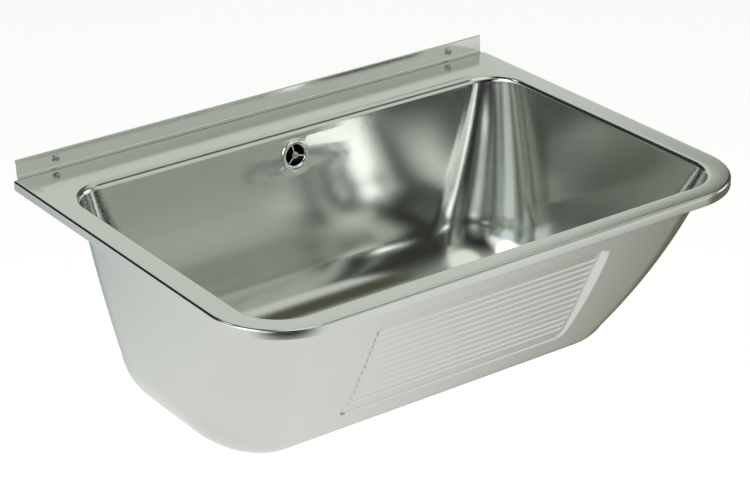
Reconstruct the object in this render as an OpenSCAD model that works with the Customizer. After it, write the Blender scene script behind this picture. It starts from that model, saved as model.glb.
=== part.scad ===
// Wall-hung mop service sink, drawn from one sheet of stainless steel.
// Millimetres, +Z up. The wall is the plane Y = 0 and the bowl stands out towards -Y.
// The origin is the centre of the four wall holes in the two brackets.

/* [Sheet and top] */
// Thickness of the stainless sheet
sheet = 1; // [0.8:0.1:1.2]
// Width over the rolled lip
width = 600; // [560:10:800]
// Depth from the wall to the front of the lip
depth = 460; // [440:10:600]
// Depth of the flat deck, from the upstand to the bowl
deck_depth = 51; // [48:1:80]
// Width of the rim at the sides
side_rim = 22; // [16:1:40]
// Width of the rim at the front
front_rim = 21; // [16:1:40]
// Height of the rolled lip
lip_height = 11.5; // [8:0.5:16]
// Radius of the roll at the top of the lip
lip_radius = 3; // [2:0.5:4]
// Radius of the curl at the lower edge of the lip
lip_curl = 2; // [1.5:0.5:3]
// Outer radius of the two front corners
outer_corner = 76; // [60:1:90]

/* [Upstand] */
// Height of the upstand above the deck
upstand_height = 20; // [18:1:40]
// How far the upstand ends short of the lip at each side
upstand_inset = 5.5; // [3.5:0.5:12]
// Radius of the bend between deck and upstand
upstand_bend = 3; // [2:0.5:4]
// Height of the hem folded behind the top edge
hem_height = 4; // [3:0.5:6]

/* [Bowl] */
// Depth of the bowl below the deck
bowl_depth = 222; // [205:1:280]
// Angle of the side walls at their top, degrees from upright
side_top_angle = 1.5; // [0:0.5:8]
// Angle of the side walls at their foot, degrees from upright
side_low_angle = 7.5; // [4:0.5:12]
// Draft of the rear wall, degrees
rear_angle = 3; // [1:0.5:6]
// Angle of the front wall at its top, degrees from upright
front_top_angle = 19.5; // [16:0.5:28]
// Angle of the front wall at its foot, degrees from upright
front_low_angle = 36.5; // [29:0.5:38]
// Radius of the bowl's edge at the rear
rear_edge = 9; // [5:1:11]
// Radius of the bowl's edge at the sides and front
rim_edge = 5; // [3:1:8]
// Corner radius of the opening
opening_corner = 50; // [36:1:56]
// Front corner radius at the foot of the walls
front_low_corner = 80; // [70:1:95]
// Rear corner radius at the foot of the walls
rear_low_corner = 88; // [74:1:100]
// Radius between the walls and the floor
floor_radius = 70; // [50:1:74]
// Fall of the floor to the waste
floor_fall = 2; // [1:0.5:4]

/* [Washboard] */
// Width of the pressed panel
board_width = 282; // [200:2:320]
// Where the panel starts, below the deck
board_top = 46; // [36:1:60]
// Where the panel ends, below the deck
board_low = 178; // [150:1:180]
// How deep the panel is pressed into the bowl
board_step = 3.5; // [2.5:0.5:6]
// Corner radius of the panel
board_corner = 13; // [8:1:20]
// Distance between two ribs
rib_pitch = 12; // [10:0.5:20]
// Radius of a rib's round top
rib_radius = 3; // [2.5:0.1:4]
// Height of a rib
rib_height = 1.6; // [1:0.1:2]
// Plain margin between the ribs and the panel's edge
rib_margin = 11; // [8:1:30]

/* [Brackets and screws] */
// Distance of each bracket's middle from the end of the lip
bracket_inset = 50.5; // [40:0.5:100]
// Width of a bracket
bracket_width = 34; // [30:1:50]
// Thickness of a bracket's back plate
plate = 4; // [3:0.5:6]
// Thickness of a bracket's shelf and cheeks
web = 3; // [2:0.5:4]
// Reach of the shelf under the deck
shelf_reach = 40; // [25:1:46]
// How far a bracket hangs below the deck
bracket_drop = 46; // [40:1:70]
// Distance of the wall holes' centre below the deck
holes_below_deck = 26; // [24:1:30]
// Distance between a bracket's two wall holes
wall_hole_spacing = 18; // [14:1:22]
// Diameter of the wall holes
wall_hole = 7; // [5:0.5:8]
// Height of the fixing screws above the deck
screw_height = 11; // [10:0.5:11.5]
// Diameter of the fixing screws
screw_d = 5; // [4:0.5:6]
// Diameter of a fixing screw's head
screw_head = 8.8; // [8:0.2:9.4]

/* [Overflow] */
// Centre of the overflow below the deck
overflow_drop = 30; // [28:1:50]
// Diameter of the overflow ring
ring_d = 34; // [32:1:36]
// Diameter of the ring's opening
ring_bore = 23; // [20:1:24]
// Diameter of the screw in the ring's hub
ring_screw = 5; // [4:0.5:5]
// Depth of the elbow behind the wall
elbow_depth = 31; // [31:1:36]
// Distance from the overflow's centre down to the elbow's outlet
elbow_outlet = 34; // [32:1:44]
// Bore of the hose
hose_bore = 18; // [14:1:18]
// Outer diameter of the hose's ribs
hose_d = 24; // [22:0.5:25]
// Distance between two ribs of the hose
hose_pitch = 5; // [4:0.5:8]
// Radius of the hose's bend
hose_bend = 45; // [40:1:60]

/* [Waste] */
// Distance of the waste's centre from the wall
waste_from_wall = 192; // [188:1:210]
// Diameter of the pressed seat of the waste
waste_seat = 84; // [82:1:90]
// Depth of that seat
waste_seat_depth = 4; // [3:0.5:5]
// Diameter of the flange
flange_d = 78; // [76:1:80]
// Diameter of the hole in the floor
waste_hole = 56; // [55:0.5:57]
// Thickness of the seal above the floor
flange_seal_thick = 1; // [0.8:0.1:2]
// Thickness of the seal below the floor
body_seal_thick = 2; // [1.5:0.1:3]
// Depth of the waste body's chamber
chamber_depth = 30; // [29:1:36]
// Length of the outlet thread
outlet_length = 13; // [12:1:30]
// Diameter of the outlet thread
outlet_d = 47.8; // [44:0.2:48]
// Diameter of the waste screw
waste_screw_d = 6; // [5:0.5:8]

/* [Plug] */
// Diameter of the plug's cap
plug_d = 54; // [52:0.5:56]
// Height of the pull on the plug
pull_height = 15; // [12:1:25]
// Diameter of the pull's head
pull_d = 17; // [14:1:24]

/* [Hidden] */

$fn = 48;
// Radial clearance of a screw in its hole, or of one turned piece in another
fit = 0.05;
// Overlap of cutting shapes with what they cut
cut = 1;

// Heights and planes
deck_z = holes_below_deck;
upstand_face = plate + sheet;
deck_start = upstand_face + upstand_bend;
opening_back = upstand_face + deck_depth;
bracket_x = width / 2 - bracket_inset;

// The lofted sheet runs past the upstand and is trimmed at the start of the flat deck
trim = 18;
back_reference = trim - deck_start;
rear_rim = back_reference + opening_back;

// Steps of the loft
CORNER_STEPS = 10;
EDGE_STEPS = 4;
WALL_STEPS = 7;
FLOOR_STEPS = 7;
CURL_ANGLES = [90, 45, 0];
ROLL_ANGLES = [0, 30, 60, 90];
LIP = len(CURL_ANGLES) + len(ROLL_ANGLES);
EDGE_END = LIP + EDGE_STEPS;
WALL_END = EDGE_END + WALL_STEPS;
LOOP = 4 * (CORNER_STEPS + 1);

// ---------------------------------------------------------------- sections of the sheet

// A station of the sheet's section is [inset from the outer edge, drop below the deck,
// inset part of the surface's normal, upward part of it].

// The curl and the roll of the lip
lip_stations = concat(
    [for (a = CURL_ANGLES) [lip_curl * (1 - cos(a)), lip_height - lip_curl * (1 - sin(a)),
        -cos(a), -sin(a)]],
    [for (a = ROLL_ANGLES) [lip_radius * (1 - cos(a)), lip_radius * (1 - sin(a)),
        -cos(a), sin(a)]]);

// Where a wall starts under its edge radius, as [inset, drop]
function wall_start(rim, edge, angle) = [rim + edge * cos(angle), edge * (1 - sin(angle))];

// Drop at which a wall of this angle runs into the floor radius
function wall_foot(angle) = bowl_depth - floor_radius * (1 - sin(angle));

// Inset of a wall at a share u of its height, when its slope changes evenly
function wall_inset(start, foot, top_angle, low_angle, u) =
    start[0] + (foot - start[1]) * (tan(top_angle) * u
        + (tan(low_angle) - tan(top_angle)) * u * u / 2);

// The edge radius, the wall and the floor radius of one side
function wall_stations(rim, edge, top_angle, low_angle) =
    let (start = wall_start(rim, edge, top_angle), foot = wall_foot(low_angle),
        foot_inset = wall_inset(start, foot, top_angle, low_angle, 1))
    concat(
        [for (i = [0 : EDGE_STEPS]) let (a = (90 - top_angle) * i / EDGE_STEPS)
            [rim + edge * sin(a), edge * (1 - cos(a)), sin(a), cos(a)]],
        [for (i = [1 : WALL_STEPS - 1]) let (u = i / WALL_STEPS,
                a = atan(tan(top_angle) + (tan(low_angle) - tan(top_angle)) * u))
            [wall_inset(start, foot, top_angle, low_angle, u),
                start[1] + (foot - start[1]) * u, cos(a), sin(a)]],
        [for (i = [0 : FLOOR_STEPS]) let (a = low_angle + (90 - low_angle) * i / FLOOR_STEPS)
            [foot_inset + floor_radius * (cos(low_angle) - cos(a)),
                bowl_depth - floor_radius * (1 - sin(a)), cos(a), sin(a)]]);

side_stations = concat(lip_stations, wall_stations(side_rim, rim_edge,
    side_top_angle, side_low_angle));
front_stations = concat(lip_stations,
    wall_stations(front_rim, rim_edge, front_top_angle, front_low_angle));
rear_stations = concat(lip_stations, wall_stations(rear_rim, rear_edge, rear_angle, rear_angle));
STATIONS = len(side_stations);

// Mean growth of the inset since station k0, of the sides and of one end
function mean_inset(end, k, k0) =
    (side_stations[k][0] - side_stations[k0][0] + end[k][0] - end[k0][0]) / 2;

// Corner radius at each station
function corner_radii(end, outer, low) =
    let (top = opening_corner - mean_inset(end, EDGE_END, LIP))
    [for (k = [0 : STATIONS - 1])
        k < LIP ? max(outer - side_stations[k][0], 1)
        : k <= EDGE_END ? opening_corner - mean_inset(end, k, LIP)
        : k <= WALL_END ? top + (low - top) * (k - EDGE_END) / WALL_STEPS
        : max(low - mean_inset(end, k, WALL_END), 4)];

front_radii = corner_radii(front_stations, outer_corner, front_low_corner);
rear_radii = corner_radii(rear_stations, trim / 3, rear_low_corner);

// ---------------------------------------------------------------- loops of the loft

// A quarter turn about (cx, cy), whose drop changes from the one beside to the one ahead
function corner(cx, cy, r, start, side_drop, end_drop) =
    [for (i = [0 : CORNER_STEPS]) let (a = start + 90 * i / CORNER_STEPS, w = pow(cos(a), 2))
        [cx + r * cos(a), cy + r * sin(a), deck_z - side_drop * w - end_drop * (1 - w)]];

// The loop of station k, on the upper skin or, when offset by the sheet, on the lower one
function loop(k, off) =
    let (s = side_stations[k], f = front_stations[k], b = rear_stations[k],
        x = width / 2 - s[0] + off * s[2],
        y_front = -depth + f[0] - off * f[2],
        y_rear = back_reference - b[0] + off * b[2],
        s_drop = s[1] + off * s[3], f_drop = f[1] + off * f[3], b_drop = b[1] + off * b[3],
        rf = front_radii[k] + off * (s[2] + f[2]) / 2,
        rb = rear_radii[k] + off * (s[2] + b[2]) / 2)
    concat(
        corner(x - rb, y_rear - rb, rb, 0, s_drop, b_drop),
        corner(-x + rb, y_rear - rb, rb, 90, s_drop, b_drop),
        corner(-x + rf, y_front + rf, rf, 180, s_drop, f_drop),
        corner(x - rf, y_front + rf, rf, 270, s_drop, f_drop));

// A round loop about the waste, with as many points as the others
function round_loop(r, drop) =
    [for (q = [0 : 3], i = [0 : CORNER_STEPS]) let (a = 90 * (q + (i + 0.5) / (CORNER_STEPS + 1)))
        [r * cos(a), -waste_from_wall + r * sin(a), deck_z - drop]];

// Drop of the waste's seat, on the upper skin
seat_drop = bowl_depth + floor_fall + waste_seat_depth;

// All loops of one skin, from the lip's edge in to the seat of the waste
function skin(off, first = 0) = concat(
    [for (k = [first : STATIONS - 1]) loop(k, off)],
    [round_loop(waste_seat / 2 + waste_seat_depth + off / 2, bowl_depth + floor_fall + off),
        round_loop(waste_seat / 2 + off / 2, seat_drop + off)]);

// Triangles between successive loops, seen from the side that the first turn gives
function band(first, loops, flip) =
    [for (i = [0 : loops - 2], j = [0 : LOOP - 1], t = [0, 1])
        let (a = first + i * LOOP + j, b = first + i * LOOP + (j + 1) % LOOP,
            c = a + LOOP, d = b + LOOP)
        flip ? (t == 0 ? [a, b, c] : [b, d, c]) : (t == 0 ? [a, c, b] : [b, c, d])];

// A fan from the loop that starts at index first to a middle point
function fan(first, middle, flip) =
    [for (j = [0 : LOOP - 1]) let (a = first + j, b = first + (j + 1) % LOOP)
        flip ? [a, b, middle] : [b, a, middle]];

function flatten(loops) = [for (l = loops) for (p = l) p];

// The whole drawn sheet, before it is trimmed, drilled and given its washboard
module drawn_sheet() {
    upper = skin(0);
    lower = skin(sheet);
    n = len(upper);
    count = n * LOOP;
    middle = [0, -waste_from_wall, deck_z - seat_drop];
    polyhedron(
        points = concat(flatten(upper), flatten(lower), [middle, middle - [0, 0, sheet]]),
        faces = concat(
            band(0, n, false),
            band(count, n, true),
            [for (j = [0 : LOOP - 1], t = [0, 1]) let (b = (j + 1) % LOOP)
                t == 0 ? [j, b, count + j] : [b, count + b, count + j]],
            fan((n - 1) * LOOP, 2 * count, false),
            fan(count + (n - 1) * LOOP, 2 * count + 1, true)),
        convexity = 6);
}

// The space inside the bowl's outer skin, closed at the top
module bowl_block() {
    loops = skin(sheet, EDGE_END);
    n = len(loops);
    count = n * LOOP;
    top = [0, -depth / 2, loops[0][0][2]];
    foot = [0, -waste_from_wall, deck_z - seat_drop - sheet];
    polyhedron(
        points = concat(flatten(loops), [top, foot]),
        faces = concat(band(0, n, true), fan(0, count, false), fan((n - 1) * LOOP, count + 1, true)),
        convexity = 4);
}

// ---------------------------------------------------------------- upstand

module ring_quarter(inner, outer) {
    difference() {
        circle(outer);
        circle(inner);
        translate([-outer - cut, -outer - cut]) square([outer + cut, 2 * (outer + cut)]);
        translate([-outer - cut, 0]) square([2 * (outer + cut), outer + cut]);
    }
}

// Section of the upstand, with the wall on the right at x = 0 and the deck's top at y = 0
module upstand_section() {
    translate([-deck_start - trim / 2, -sheet]) square([trim / 2, sheet]);
    translate([-deck_start, upstand_bend]) ring_quarter(upstand_bend, upstand_bend + sheet);
    translate([-upstand_face, upstand_bend])
        square([sheet, upstand_height - sheet - upstand_bend]);
    difference() {
        translate([-plate, upstand_height - sheet]) circle(sheet);
        translate([-plate - 2 * sheet, upstand_height - 3 * sheet])
            square([4 * sheet, 2 * sheet]);
    }
    translate([-plate, upstand_height - hem_height]) square([sheet, hem_height - sheet]);
}

module upstand() {
    length = width - 2 * upstand_inset;
    translate([-length / 2, 0, deck_z]) rotate([90, 0, 90]) linear_extrude(length)
        upstand_section();
}

// ---------------------------------------------------------------- washboard

front_start = wall_start(front_rim, rim_edge, front_top_angle);
front_foot = wall_foot(front_low_angle);

// Inset of the front wall's upper skin at a drop below the deck
function front_inset(drop) = wall_inset(front_start, front_foot, front_top_angle,
    front_low_angle, (drop - front_start[1]) / (front_foot - front_start[1]));

board_rise = front_inset(board_low) - front_inset(board_top);
board_angle = atan(board_rise / (board_low - board_top));
board_length = (board_low - board_top) / cos(board_angle);
rib_count = floor((board_length - 2 * rib_margin) / rib_pitch) + 1;

// Places things on the chord of the front wall: x across, y down the slope, z into the bowl
module on_board() {
    translate([0, -depth + front_inset(board_top) + board_rise / 2,
        deck_z - (board_top + board_low) / 2])
        rotate([board_angle - 90, 0, 0]) children();
}

module rounded_plate(w, l, r, h) {
    linear_extrude(h) {
        square([w - 2 * r, l], center = true);
        square([w, l - 2 * r], center = true);
        for (x = [-1, 1], y = [-1, 1])
            translate([x * (w / 2 - r), y * (l / 2 - r)]) circle(r);
    }
}

module board_window() {
    on_board() translate([0, 0, -4 * board_step])
        rounded_plate(board_width, board_length, board_corner, 8 * board_step);
}

// The wall that joins the pressed panel to the bowl, cut flush with the bowl's outer skin
module board_frame() {
    intersection() {
        on_board() difference() {
            translate([0, 0, -2.5 * board_step])
                rounded_plate(board_width + sheet, board_length + sheet,
                    board_corner + sheet / 2, 3.5 * board_step + sheet);
            translate([0, 0, -4 * board_step])
                rounded_plate(board_width - sheet, board_length - sheet,
                    board_corner - sheet / 2, 8 * board_step);
        }
        bowl_block();
    }
}

// A half-round bar across the panel, with round ends
module rib_bar(r, length, z) {
    translate([0, 0, z]) {
        rotate([0, 90, 0]) cylinder(r = r, h = length, center = true);
        for (x = [-length / 2, length / 2]) translate([x, 0, 0]) sphere(r);
    }
}

module board_plate() {
    axis = sheet + rib_height - rib_radius;
    length = board_width - 2 * rib_margin;
    on_board() translate([0, 0, board_step]) difference() {
        union() {
            rounded_plate(board_width - sheet / 2, board_length - sheet / 2,
                board_corner - sheet / 4, sheet);
            for (i = [0 : rib_count - 1])
                translate([0, (i - (rib_count - 1) / 2) * rib_pitch, 0]) intersection() {
                    rib_bar(rib_radius, length, axis);
                    translate([-length, -rib_radius, 0])
                        cube([2 * length, 2 * rib_radius, 2 * rib_radius]);
                }
        }
        for (i = [0 : rib_count - 1])
            translate([0, (i - (rib_count - 1) / 2) * rib_pitch, 0])
                rib_bar(rib_radius - sheet, length, axis);
    }
}

// ---------------------------------------------------------------- overflow axis

rear_start = wall_start(rear_rim, rear_edge, rear_angle);
overflow_inset = rear_start[0] + (overflow_drop - rear_start[1]) * tan(rear_angle);
overflow_y = back_reference - overflow_inset;

// Places things on the rear wall's upper skin: y up the wall, z into the bowl
module at_overflow() {
    translate([0, overflow_y, deck_z - overflow_drop]) rotate([90 - rear_angle, 0, 0])
        children();
}

spigot_r = ring_bore / 2 + 1.5;
overflow_hole_r = spigot_r + 0.5;
gasket_thick = 2;
elbow_face = -sheet - gasket_thick;

// ---------------------------------------------------------------- waste axis

seat_z = deck_z - seat_drop;

// Places things on the seat of the waste
module at_waste() {
    translate([0, -waste_from_wall, seat_z]) children();
}

// ---------------------------------------------------------------- basin

module basin() {
    color("gainsboro") difference() {
        union() {
            difference() {
                drawn_sheet();
                translate([-width, -deck_start, deck_z - 2 * lip_height])
                    cube([2 * width, 2 * trim, 3 * lip_height]);
                board_window();
            }
            upstand();
            board_frame();
            board_plate();
        }
        at_overflow() translate([0, 0, -2 * sheet]) cylinder(r = overflow_hole_r, h = 4 * sheet);
        at_waste() translate([0, 0, -2 * sheet]) cylinder(d = waste_hole, h = 4 * sheet);
        for (x = [-bracket_x, bracket_x])
            translate([x, -plate + cut, deck_z + screw_height]) rotate([90, 0, 0])
                cylinder(d = screw_d + 0.5, h = sheet + 2 * cut);
    }
}

// ---------------------------------------------------------------- brackets and screws

// Outline of a bracket's back plate, with the deck's top at y = 0
module plate_outline() {
    r = bracket_width / 5;
    top = upstand_height - hem_height - 0.5;
    translate([-bracket_width / 2, -bracket_drop + r])
        square([bracket_width, bracket_drop + top - r]);
    translate([-bracket_width / 2 + r, -bracket_drop]) square([bracket_width - 2 * r, 2 * r]);
    for (x = [-1, 1])
        translate([x * (bracket_width / 2 - r), -bracket_drop + r]) circle(r);
}

module bracket() {
    shelf_top = -sheet;
    translate([0, 0, deck_z]) difference() {
        union() {
            rotate([90, 0, 0]) linear_extrude(plate) plate_outline();
            translate([-bracket_width / 2, -shelf_reach, shelf_top - web])
                cube([bracket_width, shelf_reach - plate / 2, web]);
            for (x = [-bracket_width / 2, bracket_width / 2 - web])
                translate([x, 0, 0]) rotate([90, 0, 90]) linear_extrude(web) polygon([
                    [-plate / 2, shelf_top - web / 2], [-shelf_reach, shelf_top - web / 2],
                    [-shelf_reach, shelf_top - 2 * web], [-plate - web, 8 - bracket_drop],
                    [-plate / 2, 8 - bracket_drop]]);
        }
        for (s = [-1, 1])
            translate([0, cut, -holes_below_deck + s * wall_hole_spacing / 2]) rotate([90, 0, 0])
                cylinder(d = wall_hole, h = plate + 2 * cut);
        translate([0, cut, screw_height]) rotate([90, 0, 0])
            cylinder(r = screw_d / 2 + fit, h = plate + 2 * cut);
    }
}

module bracket_left() {
    color("silver") translate([-bracket_x, 0, 0]) bracket();
}

module bracket_right() {
    color("silver") translate([bracket_x, 0, 0]) bracket();
}

// A pan-head screw along +Z: the head above z = 0, the shank below
module pan_screw(d, head_d, head_h, length) {
    rotate_extrude() polygon([[0, -length], [d / 2 - 0.4, -length], [d / 2, -length + 0.6],
        [d / 2, 0], [head_d / 2, 0], [head_d / 2, head_h * 0.35],
        [head_d * 0.43, head_h * 0.75], [head_d * 0.28, head_h], [0, head_h]]);
}

module fixing_screws() {
    color("whitesmoke") for (x = [-bracket_x, bracket_x])
        translate([x, -upstand_face, deck_z + screw_height]) rotate([90, 0, 0])
            pan_screw(screw_d, screw_head, 2.4, upstand_face - 0.5);
}

// ---------------------------------------------------------------- overflow

ring_height = 2.8;
hub_r = ring_screw / 2 + 1.3;
hub_top = 1.6;
hub_low = -1;
spoke_width = 1.4;
spoke_turn = -15;
insert_r = ring_screw / 2 + 1.4;
insert_length = 8;

module overflow_ring() {
    bore = ring_bore / 2;
    color("white") at_overflow() {
        rotate_extrude() polygon([[bore, -5], [spigot_r, -5], [spigot_r, 0], [ring_d / 2, 0],
            [ring_d / 2, ring_height * 0.35], [ring_d / 2 - 0.6, ring_height * 0.75],
            [ring_d / 2 - 1.8, ring_height], [spigot_r, ring_height], [bore + 0.5, ring_height * 0.8],
            [bore, ring_height * 0.3]]);
        difference() {
            union() {
                translate([0, 0, hub_low]) cylinder(r = hub_r, h = hub_top - hub_low);
                for (a = [0, 120, 240]) rotate(a + spoke_turn)
                    translate([hub_r - 0.8, -spoke_width / 2, hub_low + 0.4])
                        cube([bore + 1.3 - hub_r, spoke_width, 1.6]);
            }
            translate([0, 0, hub_low - cut])
                cylinder(r = ring_screw / 2 + fit, h = hub_top - hub_low + 2 * cut);
        }
    }
}

// The hub screw reaches the insert at the back of the elbow
insert_face = elbow_face - elbow_depth + 2.5 + insert_length;

module overflow_screw() {
    color("whitesmoke") at_overflow() translate([0, 0, hub_top])
        pan_screw(ring_screw, ring_screw * 1.4, 1.9, hub_top - insert_face + insert_length - 1);
}

module overflow_gasket() {
    color("dimgray") at_overflow() translate([0, 0, elbow_face]) difference() {
        cylinder(d = ring_d + 5, h = gasket_thick);
        translate([0, 0, -cut]) cylinder(r = overflow_hole_r, h = gasket_thick + 2 * cut);
    }
}

elbow_r = ring_d / 2 + 0.5;
elbow_wall = 2.5;
spout_r = hose_bore / 2 + 4;

module overflow_elbow() {
    spout_z = elbow_face - elbow_depth / 2;
    color("darkslategray") at_overflow() difference() {
        union() {
            translate([0, 0, elbow_face - 3]) cylinder(r = elbow_r + 2.5, h = 3);
            translate([0, 0, elbow_face - elbow_depth]) cylinder(r = elbow_r, h = elbow_depth);
            translate([0, 0, spout_z]) rotate([90, 0, 0]) cylinder(r = spout_r, h = elbow_outlet);
        }
        difference() {
            translate([0, 0, elbow_face - elbow_depth + elbow_wall])
                cylinder(r = elbow_r - elbow_wall, h = elbow_depth);
            translate([0, 0, elbow_face - elbow_depth])
                cylinder(r = insert_r + 2, h = elbow_wall + insert_length);
        }
        translate([0, 0, spout_z]) rotate([90, 0, 0]) translate([0, 0, elbow_r - 2 * elbow_wall])
            cylinder(d = hose_bore, h = elbow_outlet);
        translate([0, 0, insert_face - insert_length])
            cylinder(r = insert_r + fit, h = insert_length + cut);
    }
}

module elbow_insert() {
    color("goldenrod") at_overflow() translate([0, 0, insert_face - insert_length]) difference() {
        cylinder(r = insert_r, h = insert_length);
        translate([0, 0, -cut]) cylinder(r = ring_screw / 2 + fit, h = insert_length + 2 * cut);
    }
}

// ---------------------------------------------------------------- hose and its nuts

washer_thick = 2;
collar = 2.5;
collar_r = hose_d / 2 + 0.6;
cuff_r = hose_d / 2 - 0.8;
nut_length = 16;
nut_r = spout_r + 2.6;

// A union nut along +Z, with its open end at z = 0 on the thread and its shoulder at the top
module union_nut() {
    difference() {
        union() {
            cylinder(r = nut_r, h = nut_length);
            for (a = [0 : 30 : 330]) rotate(a) translate([nut_r, 0, 0])
                cylinder(r = 1, h = nut_length - 2);
        }
        translate([0, 0, -cut]) cylinder(r = spout_r + fit, h = nut_length - collar + cut);
        cylinder(r = cuff_r + 0.2, h = nut_length + cut);
    }
}

module hose_washer() {
    difference() {
        cylinder(r = spout_r - 0.3, h = washer_thick);
        translate([0, 0, -cut]) cylinder(d = hose_bore, h = washer_thick + 2 * cut);
    }
}

// Thread that a nut covers: its length less the washer, the collar and the shoulder
nut_grip = nut_length - washer_thick - 2 * collar;

// The elbow's outlet: z runs down along the hose
module at_elbow_outlet() {
    at_overflow() translate([0, 0, elbow_face - elbow_depth / 2]) rotate([90, 0, 0])
        translate([0, 0, elbow_outlet]) children();
}

inlet_drop = 20;
body_flange_r = waste_hole / 2 + 12;
inlet_reach = body_flange_r + nut_grip + 2;

// The inlet of the waste body: z runs out along the hose
module at_inlet() {
    at_waste() translate([0, inlet_reach, -inlet_drop]) rotate([-90, 0, 0]) children();
}

module hose_washer_top() {
    color("dimgray") at_elbow_outlet() hose_washer();
}

module hose_washer_low() {
    color("dimgray") at_inlet() hose_washer();
}

module hose_nut_top() {
    color("darkslategray") at_elbow_outlet() translate([0, 0, -nut_grip]) union_nut();
}

module hose_nut_low() {
    color("darkslategray") at_inlet() translate([0, 0, -nut_grip]) union_nut();
}

// The hose's line lies in the plane X = 0 and is given as [y, z]
hose_from = let (y = -elbow_outlet - washer_thick, z = elbow_face - elbow_depth / 2)
    [overflow_y + y * sin(rear_angle) - z * cos(rear_angle),
        deck_z - overflow_drop + y * cos(rear_angle) + z * sin(rear_angle)];
hose_to = [-waste_from_wall + inlet_reach + washer_thick, seat_z - inlet_drop];
hose_turn = 90 - rear_angle;
tangent = hose_bend * tan(hose_turn / 2);
upper_run = (hose_from[1] - hose_to[1]) / cos(rear_angle) - tangent;
arc_run = hose_bend * hose_turn * PI / 180;
meet_y = hose_from[0] - (hose_from[1] - hose_to[1]) * tan(rear_angle);
lower_run = meet_y - tangent - hose_to[0];
hose_length = upper_run + arc_run + lower_run;
bend_centre = [meet_y - tangent, hose_to[1] + hose_bend];

// Direction of the hose at a distance along it, in degrees above the level line to the front
function hose_angle(s) = s < upper_run ? hose_turn
    : s > upper_run + arc_run ? 0
    : hose_turn * (1 - (s - upper_run) / arc_run);

function hose_point(s) = let (a = hose_angle(s))
    s < upper_run ? hose_from + s * [-cos(a), -sin(a)]
    : s > upper_run + arc_run ? hose_to + [hose_length - s, 0]
    : bend_centre + hose_bend * [sin(a), -cos(a)];

// A ring of the hose, 8 points round its line
function hose_ring(s, r) = let (p = hose_point(s), a = hose_angle(s))
    [for (i = [0 : 7]) let (t = 45 * i + 22.5)
        [r * cos(t), p[0] + r * sin(t) * sin(a), p[1] - r * sin(t) * cos(a)]];

// Plain cuffs one diameter long at both ends, and ribs between them
ribs = floor((hose_length - 2 * hose_d) / hose_pitch);
rib_start = (hose_length - ribs * hose_pitch) / 2;
hose_stations = concat(
    [[0, collar_r], [collar, collar_r], [collar + 0.1, cuff_r], [rib_start, cuff_r]],
    [for (i = [0 : ribs - 1], h = [0.3, 0.8]) [rib_start + (i + h) * hose_pitch,
        h < 0.5 ? hose_d / 2 : hose_d / 2 - 1.6]],
    [[hose_length - rib_start + 0.1, cuff_r], [hose_length - collar - 0.1, cuff_r],
        [hose_length - collar, collar_r], [hose_length, collar_r]]);
BORE_RINGS = 16;

module overflow_hose() {
    outer = [for (s = hose_stations) hose_ring(s[0], s[1])];
    inner = [for (i = [0 : BORE_RINGS]) hose_ring(hose_length * (1 - i / BORE_RINGS), hose_bore / 2)];
    rings = concat(outer, inner);
    n = len(rings);
    color("darkslategray") polyhedron(
        points = flatten(rings),
        faces = [for (i = [0 : n - 1], j = [0 : 7], t = [0, 1])
            let (a = i * 8 + j, b = i * 8 + (j + 1) % 8, k = (i + 1) % n,
                c = k * 8 + j, d = k * 8 + (j + 1) % 8)
            t == 0 ? [a, b, c] : [b, d, c]],
        convexity = 8);
}

// ---------------------------------------------------------------- waste

flange_low = flange_seal_thick;
flange_thick = 1.2;
cup_r = waste_hole / 2 - 0.5;
cup_depth = 12;
// The cone on which the plug sits runs from the flange down to the cup's bore
cone_top = flange_low + flange_thick - 0.2;
cone_low = -6;
cone_top_r = cup_r + 0.8;
cone_low_r = cup_r - 5;
cup_low_r = cone_low_r + 1.5;
// Radius of that cone at height z
function cone_r(z) = cone_low_r + (z - cone_low) * (cone_top_r - cone_low_r) / (cone_top - cone_low);

bar_height = 3;
bar_low = 0.5 - cup_depth;
hub_d = 12;

module waste_flange() {
    r = flange_d / 2;
    color("gainsboro") at_waste() {
        rotate_extrude() polygon([[r, flange_low], [r, flange_low + flange_thick * 0.6],
            [r - 1.5, flange_low + flange_thick], [cone_top_r + 1, flange_low + flange_thick],
            [cone_top_r, cone_top], [cone_low_r, cone_low], [cone_low_r, -cup_depth],
            [cup_low_r, -cup_depth], [cup_low_r, cone_low + 0.4], [cup_r, -0.6],
            [cone_top_r + 0.6, flange_low]]);
        difference() {
            union() {
                translate([0, 0, bar_low]) cylinder(d = hub_d, h = bar_height);
                for (a = [45 : 90 : 315]) rotate(a) translate([hub_d / 2 - 1, -1.5, bar_low])
                    cube([cone_low_r + 1.7 - hub_d / 2, 3, bar_height]);
            }
            translate([0, 0, bar_low - cut])
                cylinder(r = waste_screw_d / 2 + fit, h = bar_height + 2 * cut);
        }
    }
}

module seal_ring(outer, inner, thick) {
    difference() {
        cylinder(r = outer, h = thick);
        translate([0, 0, -cut]) cylinder(r = inner, h = thick + 2 * cut);
    }
}

module flange_seal() {
    color("dimgray") at_waste() seal_ring(flange_d / 2 - 1, waste_hole / 2 + 1.2, flange_seal_thick);
}

module body_seal() {
    color("dimgray") at_waste() translate([0, 0, -sheet - body_seal_thick])
        seal_ring(waste_hole / 2 + 11, waste_hole / 2 + 1, body_seal_thick);
}

body_top = -sheet - body_seal_thick;
chamber_r = waste_hole / 2 + 2.2;
body_wall = 2.5;
chamber_low = body_top - chamber_depth;
waste_insert_r = waste_screw_d / 2 + 2;
waste_insert_h = 7;
waste_insert_top = chamber_low + 10;
body_hub_r = waste_insert_r + 2.5;

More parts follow.
